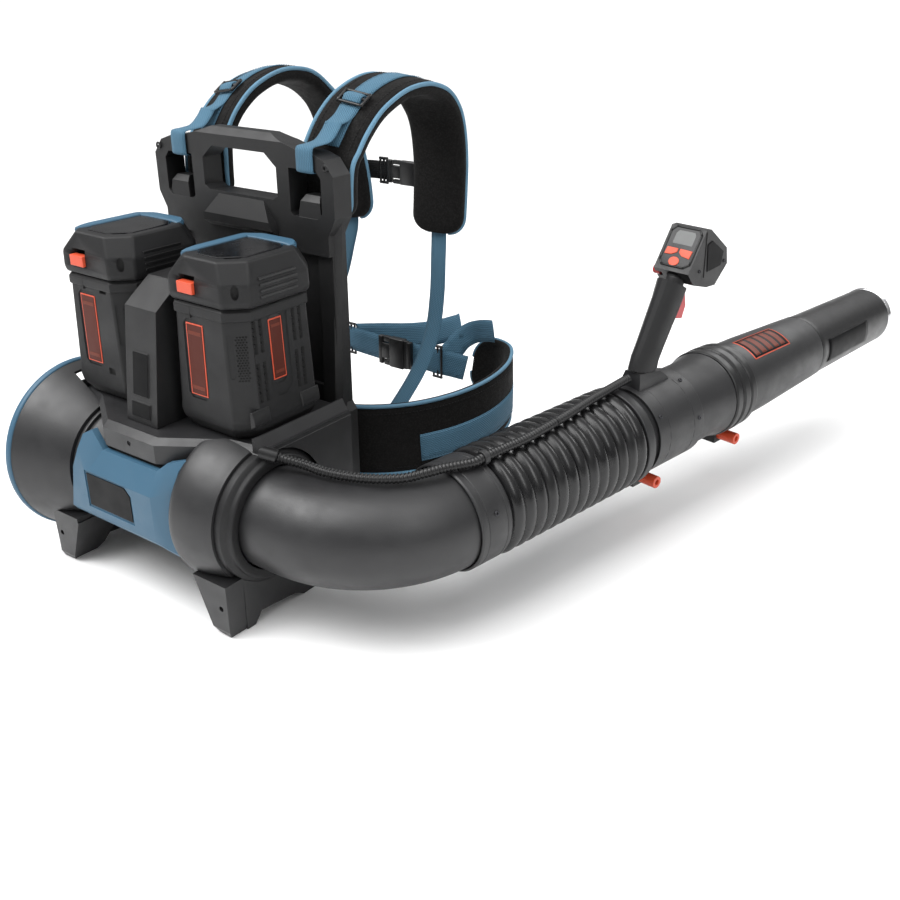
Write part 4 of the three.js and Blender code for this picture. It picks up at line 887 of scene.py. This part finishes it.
parts = [revolve("rings", rounded([(492, 58.95), (492, 61), (494, 62.7), (504, 62.7), (506, 60.4), (509, 60.4), (511, 63.3), (522, 63.3), (524, 60.6), (527, 60.6), (529, 62.7), (539, 62.7), (542, 60.2), (544, 57.8), (536, 57.8), (536, 58.95)], 0.9, 3), on_tube, RUBBER, 96)]
softened("coupling_collar", 0.8, SOFT, "blow_tube", extra=parts, dissolve=4)


def radius_2(s):
    return 57 if s < 566 else 57 - 0.6 * (s - 566) / 34 if s < 600 else 56.4 - 5.9 * (s - 600) / 142


def wrap(name, s0, s1, a0, a1, rad, lift, material, steps=12, round_c=0.18):
    """Thin plate wrapped round a tube part."""
    pts = []
    cs, ca = (s1 - s0) * round_c, (a1 - a0) * round_c
    grid, faces = [], []
    n, m = 16, steps
    for i in range(n + 1):
        for j in range(m + 1):
            s, a = s0 + (s1 - s0) * i / n, a0 + (a1 - a0) * j / m
            grid.append((s, a))
    verts = [on_tube(s, rad(s) + lift, a) for s, a in grid] + [on_tube(s, rad(s) - 0.6, a) for s, a in grid]
    off = len(grid)
    idx = lambda i, j: i * (m + 1) + j
    for i in range(n):
        for j in range(m):
            q = [idx(i, j), idx(i, j + 1), idx(i + 1, j + 1), idx(i + 1, j)]
            faces.append(q)
            faces.append([off + k for k in reversed(q)])
    for i in range(n):
        for j, flip in ((0, False), (m, True)):
            q = [idx(i, j), idx(i + 1, j), off + idx(i + 1, j), off + idx(i, j)]
            faces.append(q[::-1] if flip else q)
    for j in range(m):
        for i, flip in ((0, True), (n, False)):
            q = [idx(i, j), idx(i, j + 1), off + idx(i, j + 1), off + idx(i, j)]
            faces.append(q[::-1] if flip else q)
    o = mesh_object(name, verts, faces, material)
    recalc(o)
    return shade(o, 35)


prof = rounded([(506, 54), (506, 57), (566, 57), (600, 56.4), (740.6, 50.6), (742, 49.4), (742, 47.8), (600, 53.6), (566, 54)], 0.8)
o = revolve("tube_2_skin", prof, on_tube, CHAR, 96)
lab = [wrap("label", 566, 662, 0.84, 1.62, radius_2, 0.25, ORANGE), wrap("label", 568, 659, 0.87, 1.59, radius_2, 0.45, LABELK)]
for k in range(5):
    lab.append(wrap("label", 573 + 17 * k, 584 + 17 * k, 0.92, 1.54, radius_2, 0.6, PRINT))
finish(joined("tube_2_with_label", [o, *lab]), "extension", ["tube_2"], None)
prof = rounded([(716, 44.4), (716, 47.2), (742.35, 47), (742.35, 50), (752, 50), (758, 48.6), (960, 45.4), (960, 42.6)], 0.8)
rad_n = lambda s: 48.6 - 3.2 * (s - 758) / 202
o = revolve("nozzle_skin", prof, on_tube, SMOOTH, 96)
finish(joined("nozzle_with_plate", [o, wrap("plate", 764, 888, -0.32, 0.46, rad_n, 0.5, PLATE)]), "nozzle_body", ["nozzle"], None)
prof = rounded([(960.4, 42.6), (960.4, 45.6), (968, 46.4), (970, 45.4), (970, 42.2)], 0.7, 4)
finish(revolve("tip_ring_bright", prof, on_tube, STEEL, 96), "nozzle_body", ["nozzle_tip_ring"])

# ================================================================ control grip
gv = [NODES["handle_grip"].matrix_world @ v.co for v in NODES["handle_grip"].data.vertices]
gz = sorted(v.z for v in gv)
ga = [v for v in gv if v.z < gz[len(gz) // 6]]
gb = [v for v in gv if v.z > gz[-len(gz) // 6]]
ga, gb = sum(ga, Vector()) / len(ga), sum(gb, Vector()) / len(gb)
gd = (gb - ga).normalized()
top = max((v - ga).dot(gd) for v in gv)
neck = [ga + gd * (top + q) for q in (-0.012, -0.006, 0.0, 0.005, 0.009)]
softened("handle_grip", 1.6, SOFT, "blow_tube", dissolve=1, extra=[tube_path("neck", neck, 12.5, SOFT, 24)])
FN = (N * -0.832 + UP * 0.555).normalized()
FU = (N * 0.555 + UP * 0.832).normalized()
FO = T(402, 0, 204.7)


def face(x, u, n):
    return FO + RT * (x / 1000) + FU * (u / 1000) + FN * (n / 1000)


panel_shape = [(-24, 8), (-19, 2), (14, 2), (22, 8), (22, 48), (17, 54.5), (-18, 54.5), (-24, 48)]
panel = prism("panel", [face(x, u, -0.3) for x, u in panel_shape], FN * 0.0008, GLOSS, 0.5)
bezel = []
for k in range(len(panel_shape)):
    a, b = panel_shape[k], panel_shape[(k + 1) % len(panel_shape)]
    bezel.append(tube_path("bezel", [face(a[0], a[1], 0.2), face((a[0] + b[0]) / 2, (a[1] + b[1]) / 2, 0.2), face(b[0], b[1], 0.2)], 1.5, SMOOTH, 10))
badge = prism("badge", [T(440, 26.2, 196), T(470, 26.2, 199), T(474, 26.2, 217), T(447, 26.2, 236), T(437, 26.2, 232)], RT * 0.0008, PLATE, 0.4)
seam = prism("seam", [T(433.2, 26.05, 190), T(434.4, 26.05, 190), T(434.4, 26.05, 249), T(433.2, 26.05, 249)], RT * 0.0006, RECESS_SHADE_AND_SEAM)
softened("control_head", 2.0, SMOOTH, "blow_tube", extra=[
    badge, seam, panel, *bezel,
    hexhead("s", T(424, 25.9, 200), RT, 2.4), hexhead("s", T(478, 25.9, 203), RT, 2.4),
])
screen = prism("screen", [face(x, u, -0.35) for x, u in ((-15.5, 31.5), (14.5, 31.5), (14.5, 46), (11.5, 50), (-12, 50), (-15.5, 46))], FN * 0.0009, LCD, 0.2)
softened("display_lens", 0.5, GLOSS, "blow_tube", extra=[screen])
softened("button_left", 0.7, ORANGE, "key_left")
softened("button_right", 0.7, ORANGE, "key_right")
softened("button_power", 0.7, ORANGE, "key_power")
softened("lock_off_button", 1.0, RED, "lock_off")
softened("trigger", 1.6, TRIGGER, "trigger")

# ===================================================================== conduit
clip = cd * 73
low = [W(*p) for p in [
    (172, 66.1, 211.1), (186, 75.2, 206.2), (206, 84, 201.8), (230, 87, 199.5), (254, 93, 199), (276, 101, 199),
    (296, 112, 199.4), (314, 127, 200), (328, 146, 202.6), (338, 166, 203.4)]] + [T(22, clip.x, clip.y), T(35.4, clip.x, clip.y)]
o = tube_path("conduit_lower", low, 5.2, RUBBER, 16, 0.13, 4.4)
finish(o, ("blower", "elbow_body", W(176, 70, 205), T(18, 30, 70)), ["cable_lower"], None)
up = [(clip.x, 36, clip.y), (clip.x, 50, clip.y), (22.5, 76, 70.6), (22.6, 104, 70.6), (20.5, 136, 71.2), (17.5, 168, 72),
      (13.5, 200, 72.8), (9, 232, 73.4), (5.5, 262, 73.8), (2.5, 290, 74.2), (0.8, 308, 74.6), (0, 321.6, 75)]
whole = smooth_chain([T(s, x, h) for x, s, h in up], 6)
cut = next(i for i, p in enumerate(whole) if (p - END).dot(N) * 1000 > mid)
o = tube_path("conduit_rear", whole[: cut + 1], 5.2, RUBBER, 16, 0.13, 4.4)
finish(o, ("elbow_body", "hose", T(50, 0, 0), T(150, 0, 0)), ["cable_upper"], None)
o = tube_path("conduit_front", whole[cut:], 5.2, RUBBER, 16, 0.13, 4.4)
finish(o, ("hose", "blow_tube", T(172, 0, 0), T(284, 0, 0)), ["cable_upper"], None)
softened("cable_gland", 1.2, RUBBER, "blower")

# ================================================================== soft goods
STRAP = [(255.4, 432), (255.6, 466), (259, 495), (268, 511), (285.5, 531.5), (312, 551.5), (349.5, 566), (382, 570), (412, 565.5),
         (440, 549), (461, 520.5), (469.5, 474.5), (468.5, 424), (464.5, 374)]
LEFT_X = [98, 98, 98, 98, 98, 98, 98, 97, 94, 89, 80, 67, 54, 46]
ROLL = [0, 0.05, 0.2, 0.25, 0.24, 0.2, 0.16, 0.12, 0.05, -0.05, -0.12, -0.2, -0.22, -0.22]


def puffed(o, pin, pressure=4.0, frames=14, cap=3.0):
    """Inflates the piece a little between its pinned seams."""
    rest = [v.co.copy() for v in o.data.vertices]
    g = o.vertex_groups.new(name="pin")
    g.add([i for i in range(len(rest)) if pin(i)], 1.0, "REPLACE")
    c = o.modifiers.new("cloth", "CLOTH")
    st = c.settings
    st.quality = 6
    st.mass = 0.2
    st.tension_stiffness = st.compression_stiffness = 12
    st.shear_stiffness = 6
    st.bending_stiffness = 1.5
    st.use_pressure = True
    st.uniform_pressure_force = pressure
    st.vertex_group_mass = "pin"
    st.effector_weights.gravity = 0
    c.point_cache.frame_start, c.point_cache.frame_end = 1, frames
    for f in range(1, frames + 1):
        scene.frame_set(f)
    baked(o)
    for v, r in zip(o.data.vertices, rest):
        d = v.co - r
        if d.length > cap / 1000:
            v.co = r + d.normalized() * cap / 1000
    scene.frame_set(1)
    return o


def pad(name, entries, material, across=14, sub=5, rim_round=0.3, quilt=(), depth=2.0, outer=1, cap=3.0):
    """Stuffed band: a boxed edge, softly crowned faces, sunk stitch lines and
    rounded ends. quilt lists the stitch lines' positions across, -1 to 1.
    Returns the piece and the two edge lines of its outer face."""
    cols = smooth_chain([tuple(e[0]) for e in entries], sub)
    wid = smooth_chain([tuple(e[1]) for e in entries], sub)
    siz = smooth_chain([(e[2], e[3], 0) for e in entries], sub)
    n = len(cols)
    length = sum((cols[i] - cols[i - 1]).length for i in range(1, n))
    # Stations bunch towards the ends so that these come out round.
    verts, faces, uvs = [], [], []
    m = across
    rim = [(-1 + 2 * q / m, 1) for q in range(m + 1)] + [(1.0, 0.33), (1.0, -0.33)] + [(1 - 2 * q / m, -1) for q in range(m + 1)] + [(-1.0, -0.33), (-1.0, 0.33)]
    k, d = len(rim), 0.0
    edges = {"a": [], "b": []}
    pins = set()
    frames = []
    for i in range(n):
        tan = (cols[min(i + 1, n - 1)] - cols[max(i - 1, 0)]).normalized()
        w = (wid[i] - tan * wid[i].dot(tan)).normalized()
        nor = tan.cross(w).normalized()
        if i:
            d += (cols[i] - cols[i - 1]).length
        frames.append((d, cols[i], w, nor, siz[i].x / 2000, siz[i].y / 2000))

    def at(dd):
        for j in range(n - 1):
            if frames[j + 1][0] >= dd or j == n - 2:
                a, b = frames[j], frames[j + 1]
                t = (dd - a[0]) / max(1e-9, b[0] - a[0])
                return (dd, a[1].lerp(b[1], t), a[2].lerp(b[2], t).normalized(), a[3].lerp(b[3], t).normalized(), a[4] + (b[4] - a[4]) * t, a[5] + (b[5] - a[5]) * t)

    rr = frames[0][4] * 0.62
    ends = [rr * (1 - math.cos(math.pi / 2 * j / 8)) for j in range(9)]
    steps = max(8, int((length - 2 * rr) / 0.006))
    stations = ends + [rr + (length - 2 * rr) * j / steps for j in range(1, steps)] + [length - e for e in reversed(ends)]
    for i, dd in enumerate(stations):
        dd, c, w, nor, hw, ht = at(min(max(dd, 0.0), length))
        e = min(dd, length - dd)
        q = 1.0 if e >= rr else math.sqrt(max(0.0, 1 - (1 - e / rr) ** 2))
        hwn = hw - rr * 0.98 * (1 - q)
        for v, side in rim:
            edge = max(0.0, abs(v) - (1 - rim_round)) / rim_round
            crown = 0.80 + 0.20 * (1 - v * v)
            prof = crown * (1 - 0.34 * edge ** 3)
            for qv in quilt:
                if side in (1, -1):
                    prof -= depth / (ht * 1000) * math.exp(-(((v - qv) * hw * 1000) / 2.6) ** 2)
            bulge = 1.0 + (0.035 if abs(side) < 0.9 else 0.0)
            fade = 0.72 + 0.28 * min(1.0, e / 0.012)
            if (abs(v) >= 0.999 and abs(side) == 1) or i in (0, len(stations) - 1) or any(abs(v - qv) < 1.01 / m for qv in quilt):
                pins.add(len(verts))
            verts.append(c + w * (v * hwn * bulge) + nor * (side * ht * prof * fade))
            uvs.append((dd, v * hw + (0 if side > 0 else 0.2)))
        z = ht * 0.80 * 0.66 * fade if False else ht * 0.56 * fade
        edges["a"].append(c - w * hwn * 1.0 + nor * outer * z)
        edges["b"].append(c + w * hwn * 1.0 + nor * outer * z)
    ns = len(stations)
    for i in range(ns - 1):
        for j in range(k):
            j2 = (j + 1) % k
            faces.append([i * k + j, i * k + j2, (i + 1) * k + j2, (i + 1) * k + j])
    faces.append(list(range(k))[::-1])
    faces.append([(ns - 1) * k + j for j in range(k)])
    o = mesh_object(name, verts, faces, material, uvs)
    recalc(o)
    puffed(o, lambda i: i in pins, cap=cap)
    return shade(o, 75), edges, [at(dd) for dd in stations]


def stitch(name, points, lift, material=None, pitch=4.5, r=0.45):
    """Row of small stitches along points."""
    objs = []
    path = smooth_chain([tuple(p) for p in points], 4)
    acc, nxt = 0.0, 0.0
    for a, b in zip(path, path[1:]):
        seg = (b - a).length
        while nxt <= acc + seg:
            t = (nxt - acc) / max(seg, 1e-9)
            p = a.lerp(b, t) + lift
            q = p + (b - a).normalized() * pitch * 0.6 / 1000
            objs.append((p, q))
            nxt += pitch / 1000
        acc += seg
    verts, faces = [], []
    for p, q in objs:
        t = (q - p).normalized()
        u = t.orthogonal().normalized()
        w = t.cross(u)
        base = len(verts)
        for c in (p, q):
            for k in range(5):
                a = 2 * math.pi * k / 5
                verts.append(c + (u * math.cos(a) + w * math.sin(a)) * r / 1000)
        for k in range(5):
            k2 = (k + 1) % 5
            faces.append([base + k, base + k2, base + 5 + k2, base + 5 + k])
        faces.append([base + k for k in range(4, -1, -1)])
        faces.append([base + 5 + k for k in range(5)])
    return shade(mesh_object(name, verts, faces, material or WEB), 60)


def ladder(name, a, b, width_dir, width, material=None):
    """Ladder-lock adjuster between points a and b (metres)."""
    t = (b - a).normalized()
    w = width_dir.normalized()
    nrm = t.cross(w).normalized()
    L = (b - a).length * 1000
    objs = []

    def bar(s0, s1, w0, w1, h0, h1):
        pts = [a + t * (s / 1000) + w * (x / 1000) + nrm * (h0 / 1000) for s, x in ((s0, w0), (s0, w1), (s1, w1), (s1, w0))]
        objs.append(prism(name, pts, nrm * ((h1 - h0) / 1000), material or BUCKLE, 0.7))

    hw = width / 2
    bar(0, L, -hw, -hw + 4, -2.2, 2.2)
    bar(0, L, hw - 4, hw, -2.2, 2.2)
    bar(0, 4, -hw, hw, -2.2, 2.2)
    bar(L * 0.45, L * 0.45 + 4, -hw, hw, -1.5, 2.6)
    bar(L - 5, L, -hw - 1, hw + 1, -2.2, 3.0)
    return joined(name, objs)


def tri_glide(name, c, w, t, width, gap=9.0):
    """Three-bar slide: centre c, width direction w, strap direction t."""
    w, t = w.normalized(), t.normalized()
    nrm = t.cross(w).normalized()
    objs = []
    for s0 in (-gap, 0, gap):
        objs.append(tube_path("bar", [c + t * s0 / 1000 - w * width / 2000 + nrm * 0.001, c + t * s0 / 1000 + nrm * (0.0028 if s0 == 0 else 0.001), c + t * s0 / 1000 + w * width / 2000 + nrm * 0.001], 1.7, BUCKLE, 10))
    for sg in (-1, 1):
        e = c + w * sg * width / 2000
        objs.append(tube_path("side", [e - t * (gap + 1.2) / 1000 + nrm * 0.001, e + nrm * 0.001, e + t * (gap + 1.2) / 1000 + nrm * 0.001], 2.0, BUCKLE, 10))
    return joined(name, objs)


for side, sx in (("right", 1), ("left", -1)):
    ent = []
    for i, (y, z) in enumerate(STRAP):
        wdir = Vector((1, (sx * 0.12 if i > 8 else 0), -sx * ROLL[i])).normalized()
        x = 107 if side == "right" else -LEFT_X[i]
        ent.append((W(x, y, z), wdir, 74, 21))
    # tan x width points inwards on both sides, so the outer face is on -normal
    probe = (Vector(ent[8][0]) - Vector(ent[6][0])).cross(ent[7][1])
    outer = 1 if probe.z > 0 else -1
    o, edges, st = pad("shoulder_pad_%s_quilted" % side, ent, MESHF, across=14, depth=1.4, outer=outer)
    finish(o, "blower", ["shoulder_pad_%s" % side], None)
    loop = edges["a"][::2] + list(reversed(edges["b"][::2]))
    trims = [tube_path("piping", edges[k], 2.7, PIPE, 12) for k in ("a", "b")]
    top = [q for q in st if 0.075 < q[0]]
    lift = lambda q, mm: q[1] + q[3] * outer * (q[5] * 0.98 + mm / 1000)
    half = top[: int(len(top) * 0.62)]
    trims.append(strip("stripe", [(lift(q, 0.8), q[2], 25, 1.8) for q in half[::6]], WEB, 0.1, 4))
    for off in (-10.8, 10.8):
        trims.append(stitch("stitch", [lift(q, 1.7) + q[2] * off / 1000 for q in half[::6]], Vector((0, 0, 0)), PIPE, 4.0, 0.35))
    for off in (-27, 27):
        trims.append(stitch("stitch", [lift(q, -0.6) + q[2] * off / 1000 for q in st[10:-10:6]], Vector((0, 0, 0)), WEBK, 4.5, 0.4))
    # Short loops of cord low on the pad.
    q = st[-12]
    for off in (-20, 20):
        b = q[1] + q[2] * off / 1000
        trims.append(tube_path("loop", [b, b - Z * 0.016 + Y * 0.004, b - Z * 0.020, b - Z * 0.014 - Y * 0.003, b], 1.1, BUCKLE, 8))
    finish(joined("shoulder_trim_%s" % side, trims), "blower", (), None)
    # Webbing from the frame's loop bar to the slide on the pad.
    wx = sx * (110 if side == "right" else 101)
    pts = [(242, 489.6), (230, 489.6), (215, 489.4), (211.6, 491.4), (211.4, 498), (211.4, 510), (212.4, 515.6), (216, 518), (230, 518.8), (244, 521), (256, 530), (264, 539)]
    a = strip("web", [(W(wx, y, z), X, 26, 2) for y, z in pts], WEB, 0.08, 5)
    # Along the pad the webbing widens into a sewn triangle under the slide.
    j0 = min(range(len(st)), key=lambda i: (st[i][1] - W(wx, 276, 545)).length)
    seat = st[j0: j0 + 9]
    b = strip("flare", [(W(wx, 262, 537), X, 26, 2)] + [(lift(q, 1.6) , q[2], 26 + 5 * i / 3, 1.8) for i, q in enumerate(seat[::3])], WEB, 0.08, 5)
    finish(joined("loop_webbing_%s" % side, [a, b]), "blower", ["shoulder_webbing_%s" % side], None)
    g = st[j0 + 4]
    gt = (st[j0 + 6][1] - st[j0 + 2][1]).normalized()
    gn = 1 if gt.cross(g[2]).z > 0 else -1
    o = tri_glide("slide_%s" % side, lift(g, 4.2), g[2] * gn, gt, 34, 9.5)
    roll = strip("fold", [(lift(g, 5.0) - gt * 0.007, g[2], 25, 2), (lift(g, 8.2), g[2], 25, 2), (lift(g, 5.2) + gt * 0.008, g[2], 25, 2)], WEB, 0.08, 5)
    finish(joined("ladder_%s" % side, [o, roll]), "blower", ["shoulder_adjuster_%s" % side], None)
    if side == "right":
        pts = [(110, 463, 392), (110, 463, 365), (112, 459, 340), (114, 453, 290), (115, 440, 240), (114, 412, 196), (112, 372, 160), (110, 322, 124), (108, 278, 90), (108, 244.6, 72)]
    else:
        pts = [(-46, 463, 392), (-46, 463, 365), (-50, 459, 340), (-62, 453, 290), (-80, 440, 240), (-95, 412, 196), (-112, 372, 160), (-110, 322, 124), (-108, 278, 90), (-108, 244.6, 72)]
    a = strip("web", [(W(*p), X, 25, 2) for p in pts], WEB, 0.08, 5)
    finish(joined("lower_strap_%s" % side, [a]), "blower", ["lower_webbing_%s" % side], None)

# Chest strap with its buckle.
cz = 441
a = strip("web", [(W(x, y, cz), Z, 25, 2) for x, y in ((-36, 480), (-24, 486.6), (-8, 488.4), (2, 489))], WEBK, 0.08, 6)
finish(joined("chest_webbing", [a, tri_glide("cg", W(-4, 487, cz), Z, -X, 33, 6)]), "blower", ["chest_strap"], None)


def buckle(name, cx0, cx1, y, z, h, t):
    """Side-release buckle: female shell, male prongs, and two bars."""
    L = cx1 - cx0
    objs = []
    def block(x0, x1, z0, z1, y0, y1, bev=1.2):
        objs.append(prism(name, [W(x0, y0, z0), W(x1, y0, z0), W(x1, y0, z1), W(x0, y0, z1)], Vector((0, (y1 - y0) / 1000, 0)), BUCKLE, bev, 3))
    hh = h / 2
    xm = cx0 + L * 0.52
    block(xm - L * 0.16, xm + L * 0.28, z - hh, z + hh, y - t / 2, y + t / 2, 2.0)
    block(cx0 + L * 0.1, xm - L * 0.14, z - hh * 0.52, z + hh * 0.52, y - t * 0.36, y + t * 0.36, 1.4)
    block(cx0 + L * 0.16, xm - L * 0.1, z + hh * 0.62, z + hh * 0.98, y - t * 0.3, y + t * 0.3, 1.2)
    block(cx0 + L * 0.16, xm - L * 0.1, z - hh * 0.98, z - hh * 0.62, y - t * 0.3, y + t * 0.3, 1.2)
    block(cx0, cx0 + L * 0.13, z - hh * 0.95, z + hh * 0.95, y - t * 0.34, y + t * 0.34, 1.4)
    block(xm + L * 0.26, cx1 - L * 0.1, z - hh * 0.95, z + hh * 0.95, y - t * 0.3, y + t * 0.3, 1.2)
    block(cx1 - L * 0.12, cx1, z - hh * 0.9, z + hh * 0.9, y - t * 0.34, y + t * 0.34, 1.2)
    return joined(name, objs)


finish(buckle("chest_clip", 2, 68, 489, cz, 33, 9), "blower", ["chest_buckle"], None)

# Waist belt.
BELT = [(90, 252), (131, 261), (165, 279), (195, 309), (216, 350), (226, 392), (226, 434), (216, 476), (198, 506), (174, 521), (150, 521), (134, 512)]


def belt_ent(sx):
    ent = []
    for i, (x, y) in enumerate(BELT):
        top = 191 + 19 * min(1, i / 7) + (5 if i > 7 else 0)
        lo = 96 + 20 * (i / 7) if i < 7 else 116 + 18 * (i - 7) / 4
        ent.append((W(sx * x, y, (top + lo) / 2), Z, top - lo, 15))
    return ent


for side, sx in (("right", 1), ("left", -1)):
    ent = belt_ent(sx)
    probe = (Vector(ent[6][0]) - Vector(ent[4][0])).cross(Z)
    outer = 1 if probe.x * sx > 0 else -1
    o, edges, st = pad("belt_wing_%s" % side, ent, MESHF, across=18, depth=1.2, outer=outer)
    finish(o, "blower", ["waist_belt"], None)
    trims = [tube_path("piping", edges[k], 2.6, PIPE, 12) for k in ("a", "b")]
    start = min(range(len(st)), key=lambda i: abs(st[i][1].y - W(0, 308, 0).y) + (0 if st[i][0] < 0.25 else 9))
    run = st[start:-10]
    low = -14.0
    lift = lambda q, mm: q[1] + q[3] * outer * (q[5] * 0.97 + mm / 1000) + Z * (low / 1000)
    trims.append(strip("side_stripe", [(lift(q, 1.0), q[2], 38, 1.8) for q in run[::6]], WEB, 0.08, 3))
    for off in (-16.5, 16.5):
        trims.append(stitch("stitch", [lift(q, 1.9) + q[2] * off / 1000 for q in run[::6]], Vector((0, 0, 0)), PIPE, 4.0, 0.35))
    for off in (-0.40, 0.40):
        trims.append(stitch("stitch", [q[1] + q[3] * outer * (q[5] * 0.96) + q[2] * (q[4] * 2 * off) for q in st[12:-12:6]], Vector((0, 0, 0)), WEBK, 4.5, 0.4))
    finish(joined("belt_trim_%s" % side, trims), "blower", (), None)
ent = [(W(x, y, 146), Z, 90, 9) for x, y in ((-91, 252.3), (-45, 252.3), (0, 252.3), (45, 252.3), (91, 252.3))]
o, *_ = pad("belt_lumbar", ent, MESHF, across=12, quilt=(), depth=0, cap=1.5)
finish(o, "blower", ["waist_belt"], None)
# Waist webbing: two lengths into the buckle, a slide and a loose tail on each.
wz = 180
a = strip("web", [(W(x, y, z), Z, 38, 2) for x, y, z in ((-126, 502, 180), (-100, 492, 180), (-70, 485, 180), (-30, 481, 180), (-8, 479, 180))], WEB, 0.06, 6)
b = strip("web", [(W(x, y, z), Z, 38, 2) for x, y, z in ((46, 479, 180), (70, 481, 180), (91, 484, 178), (108, 492, 175), (128, 503, 170))], WEB, 0.06, 6)
t1 = strip("tail", [(W(x, y, z), Vector((0.05 * i, 0.1 * i, 1)).normalized(), 36, 1.8) for i, (x, y, z) in enumerate([(-66, 489, 186), (-20, 494, 194), (30, 500, 202), (70, 506, 212), (100, 511, 224), (112, 513, 231)])], WEB, 0.06, 6)
t2 = strip("tail", [(W(x, y, z), Vector(wd).normalized(), 32, 1.8) for (x, y, z), wd in (((98, 492, 181), (0.2, 0.3, 1)), ((108, 500, 196), (0.5, 0.4, 1)), ((119, 506, 212), (0.3, 0.2, 1)), ((137, 508, 225), (-0.1, 0.0, 1)), ((160, 505, 233), (-0.15, 0, 1)), ((176, 502, 236), (-0.1, 0, 1)))], WEB, 0.06, 6)
finish(joined("waist_webbing_band", [a, b, t1, t2]), "blower", ["waist_webbing"], None)
g1 = tri_glide("g", W(-76, 485, 180), Z, -X, 47, 7)
g2 = tri_glide("g", W(91, 483, 178), Z, -X, 47, 7)
finish(joined("waist_clip", [buckle("wb", -10, 50, 475, wz, 46, 12), g1, g2]), "blower", ["waist_buckle"], None)

# Back pad.
ent = []
src = NODES["back_pad"]
lo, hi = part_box("back_pad")
cxp, wpad = (lo[0] + hi[0]) / 2, (hi[0] - lo[0]) * 1000
h0, h1 = lo[2], hi[2]
yp = (lo[1] + hi[1]) / 2
n = 8
ent = [(Vector((cxp, yp, h0 + (h1 - h0) * i / n)), X, wpad, (hi[1] - lo[1]) * 1000) for i in range(n + 1)]
o, edges, *_ = pad("back_pad_quilted", ent, MESHF, across=22, sub=6, rim_round=0.2, quilt=(-0.45, 0.0, 0.45), depth=1.6, cap=2.0)
finish(o, "blower", ["back_pad"], None)
finish(joined("back_pad_binding", [tube_path("b", edges[k], 1.8, PIPE, 10) for k in ("a", "b")]), "blower", (), None)

# Inner parts that stay as they are take worked finishes.
for node, material in (("motor", ALLOY), ("motor_shaft", STEEL), ("flow_straightener", SOFT), ("controller_board", BOARD), ("impeller", SOFT)):
    NODES[node].data.materials.clear()
    NODES[node].data.materials.append(material)

# ================================================================= set and light
floor = mesh_object("floor", [(-30, -30, -0.0005), (30, -30, -0.0005), (30, 30, -0.0005), (-30, 30, -0.0005)], [[0, 1, 2, 3]], plastic("floor", (0.93, 0.93, 0.93), 0.7, 40, 0.0001, 0.004))


def area(name, loc, target, size, energy):
    d = bpy.data.lights.new(name, "AREA")
    d.shape = "RECTANGLE"
    d.size, d.size_y = size
    d.energy = energy
    o = bpy.data.objects.new(name, d)
    scene.collection.objects.link(o)
    o.location = loc
    o.rotation_euler = (Vector(target) - Vector(loc)).to_track_quat("-Z", "Y").to_euler()
    return o


sun = bpy.data.lights.new("sun", "SUN")
sun.energy = 2.3
sun.angle = math.radians(48)
so = bpy.data.objects.new("sun", sun)
scene.collection.objects.link(so)
so.rotation_euler = (Vector((0.25, 0.45, -1.0))).to_track_quat("-Z", "Y").to_euler()
area("key", (-0.9, -0.9, 1.9), (0.15, 0.05, 0.15), (1.5, 0.8), 24)
area("strip", (1.3, -0.3, 1.6), (0.35, 0.3, 0.15), (0.5, 2.0), 14)
area("back", (0.6, 2.6, 1.8), (0.1, 0.2, 0.3), (2.0, 0.8), 20)
world = bpy.data.worlds.new("studio")
world.use_nodes = True
wt = world.node_tree
bg = wt.nodes["Background"]
tc = wt.nodes.new("ShaderNodeTexCoord")
sep = wt.nodes.new("ShaderNodeSeparateXYZ")
mr = wt.nodes.new("ShaderNodeMapRange")
wt.links.new(tc.outputs["Generated"], sep.inputs[0])
wt.links.new(sep.outputs[2], mr.inputs[0])
mr.inputs[1].default_value, mr.inputs[2].default_value = 0.0, 0.8
mr.inputs[3].default_value, mr.inputs[4].default_value = 0.12, 0.75
wt.links.new(mr.outputs[0], bg.inputs[1])
bg.inputs[0].default_value = (1, 1, 1, 1)
scene.world = world
scene.view_settings.view_transform = "Standard"

az, el = math.radians(36.09), math.radians(25.28)
h = Vector((-math.sin(az), math.cos(az), 0))
F = h * math.cos(el) - Z * math.sin(el)
R = Vector((math.cos(az), math.sin(az), 0))
U = h * math.sin(el) + Z * math.cos(el)
cam_data = bpy.data.cameras.new("camera")
cam_data.lens = 1024.9 * 36 / 900
cam_data.sensor_width = 36
cam = bpy.data.objects.new("camera", cam_data)
scene.collection.objects.link(cam)
cam.matrix_world = Matrix(
    ((R.x, U.x, -F.x, 0.935), (R.y, U.y, -F.y, -0.883), (R.z, U.z, -F.z, 0.700), (0, 0, 0, 1))
)
scene.camera = cam
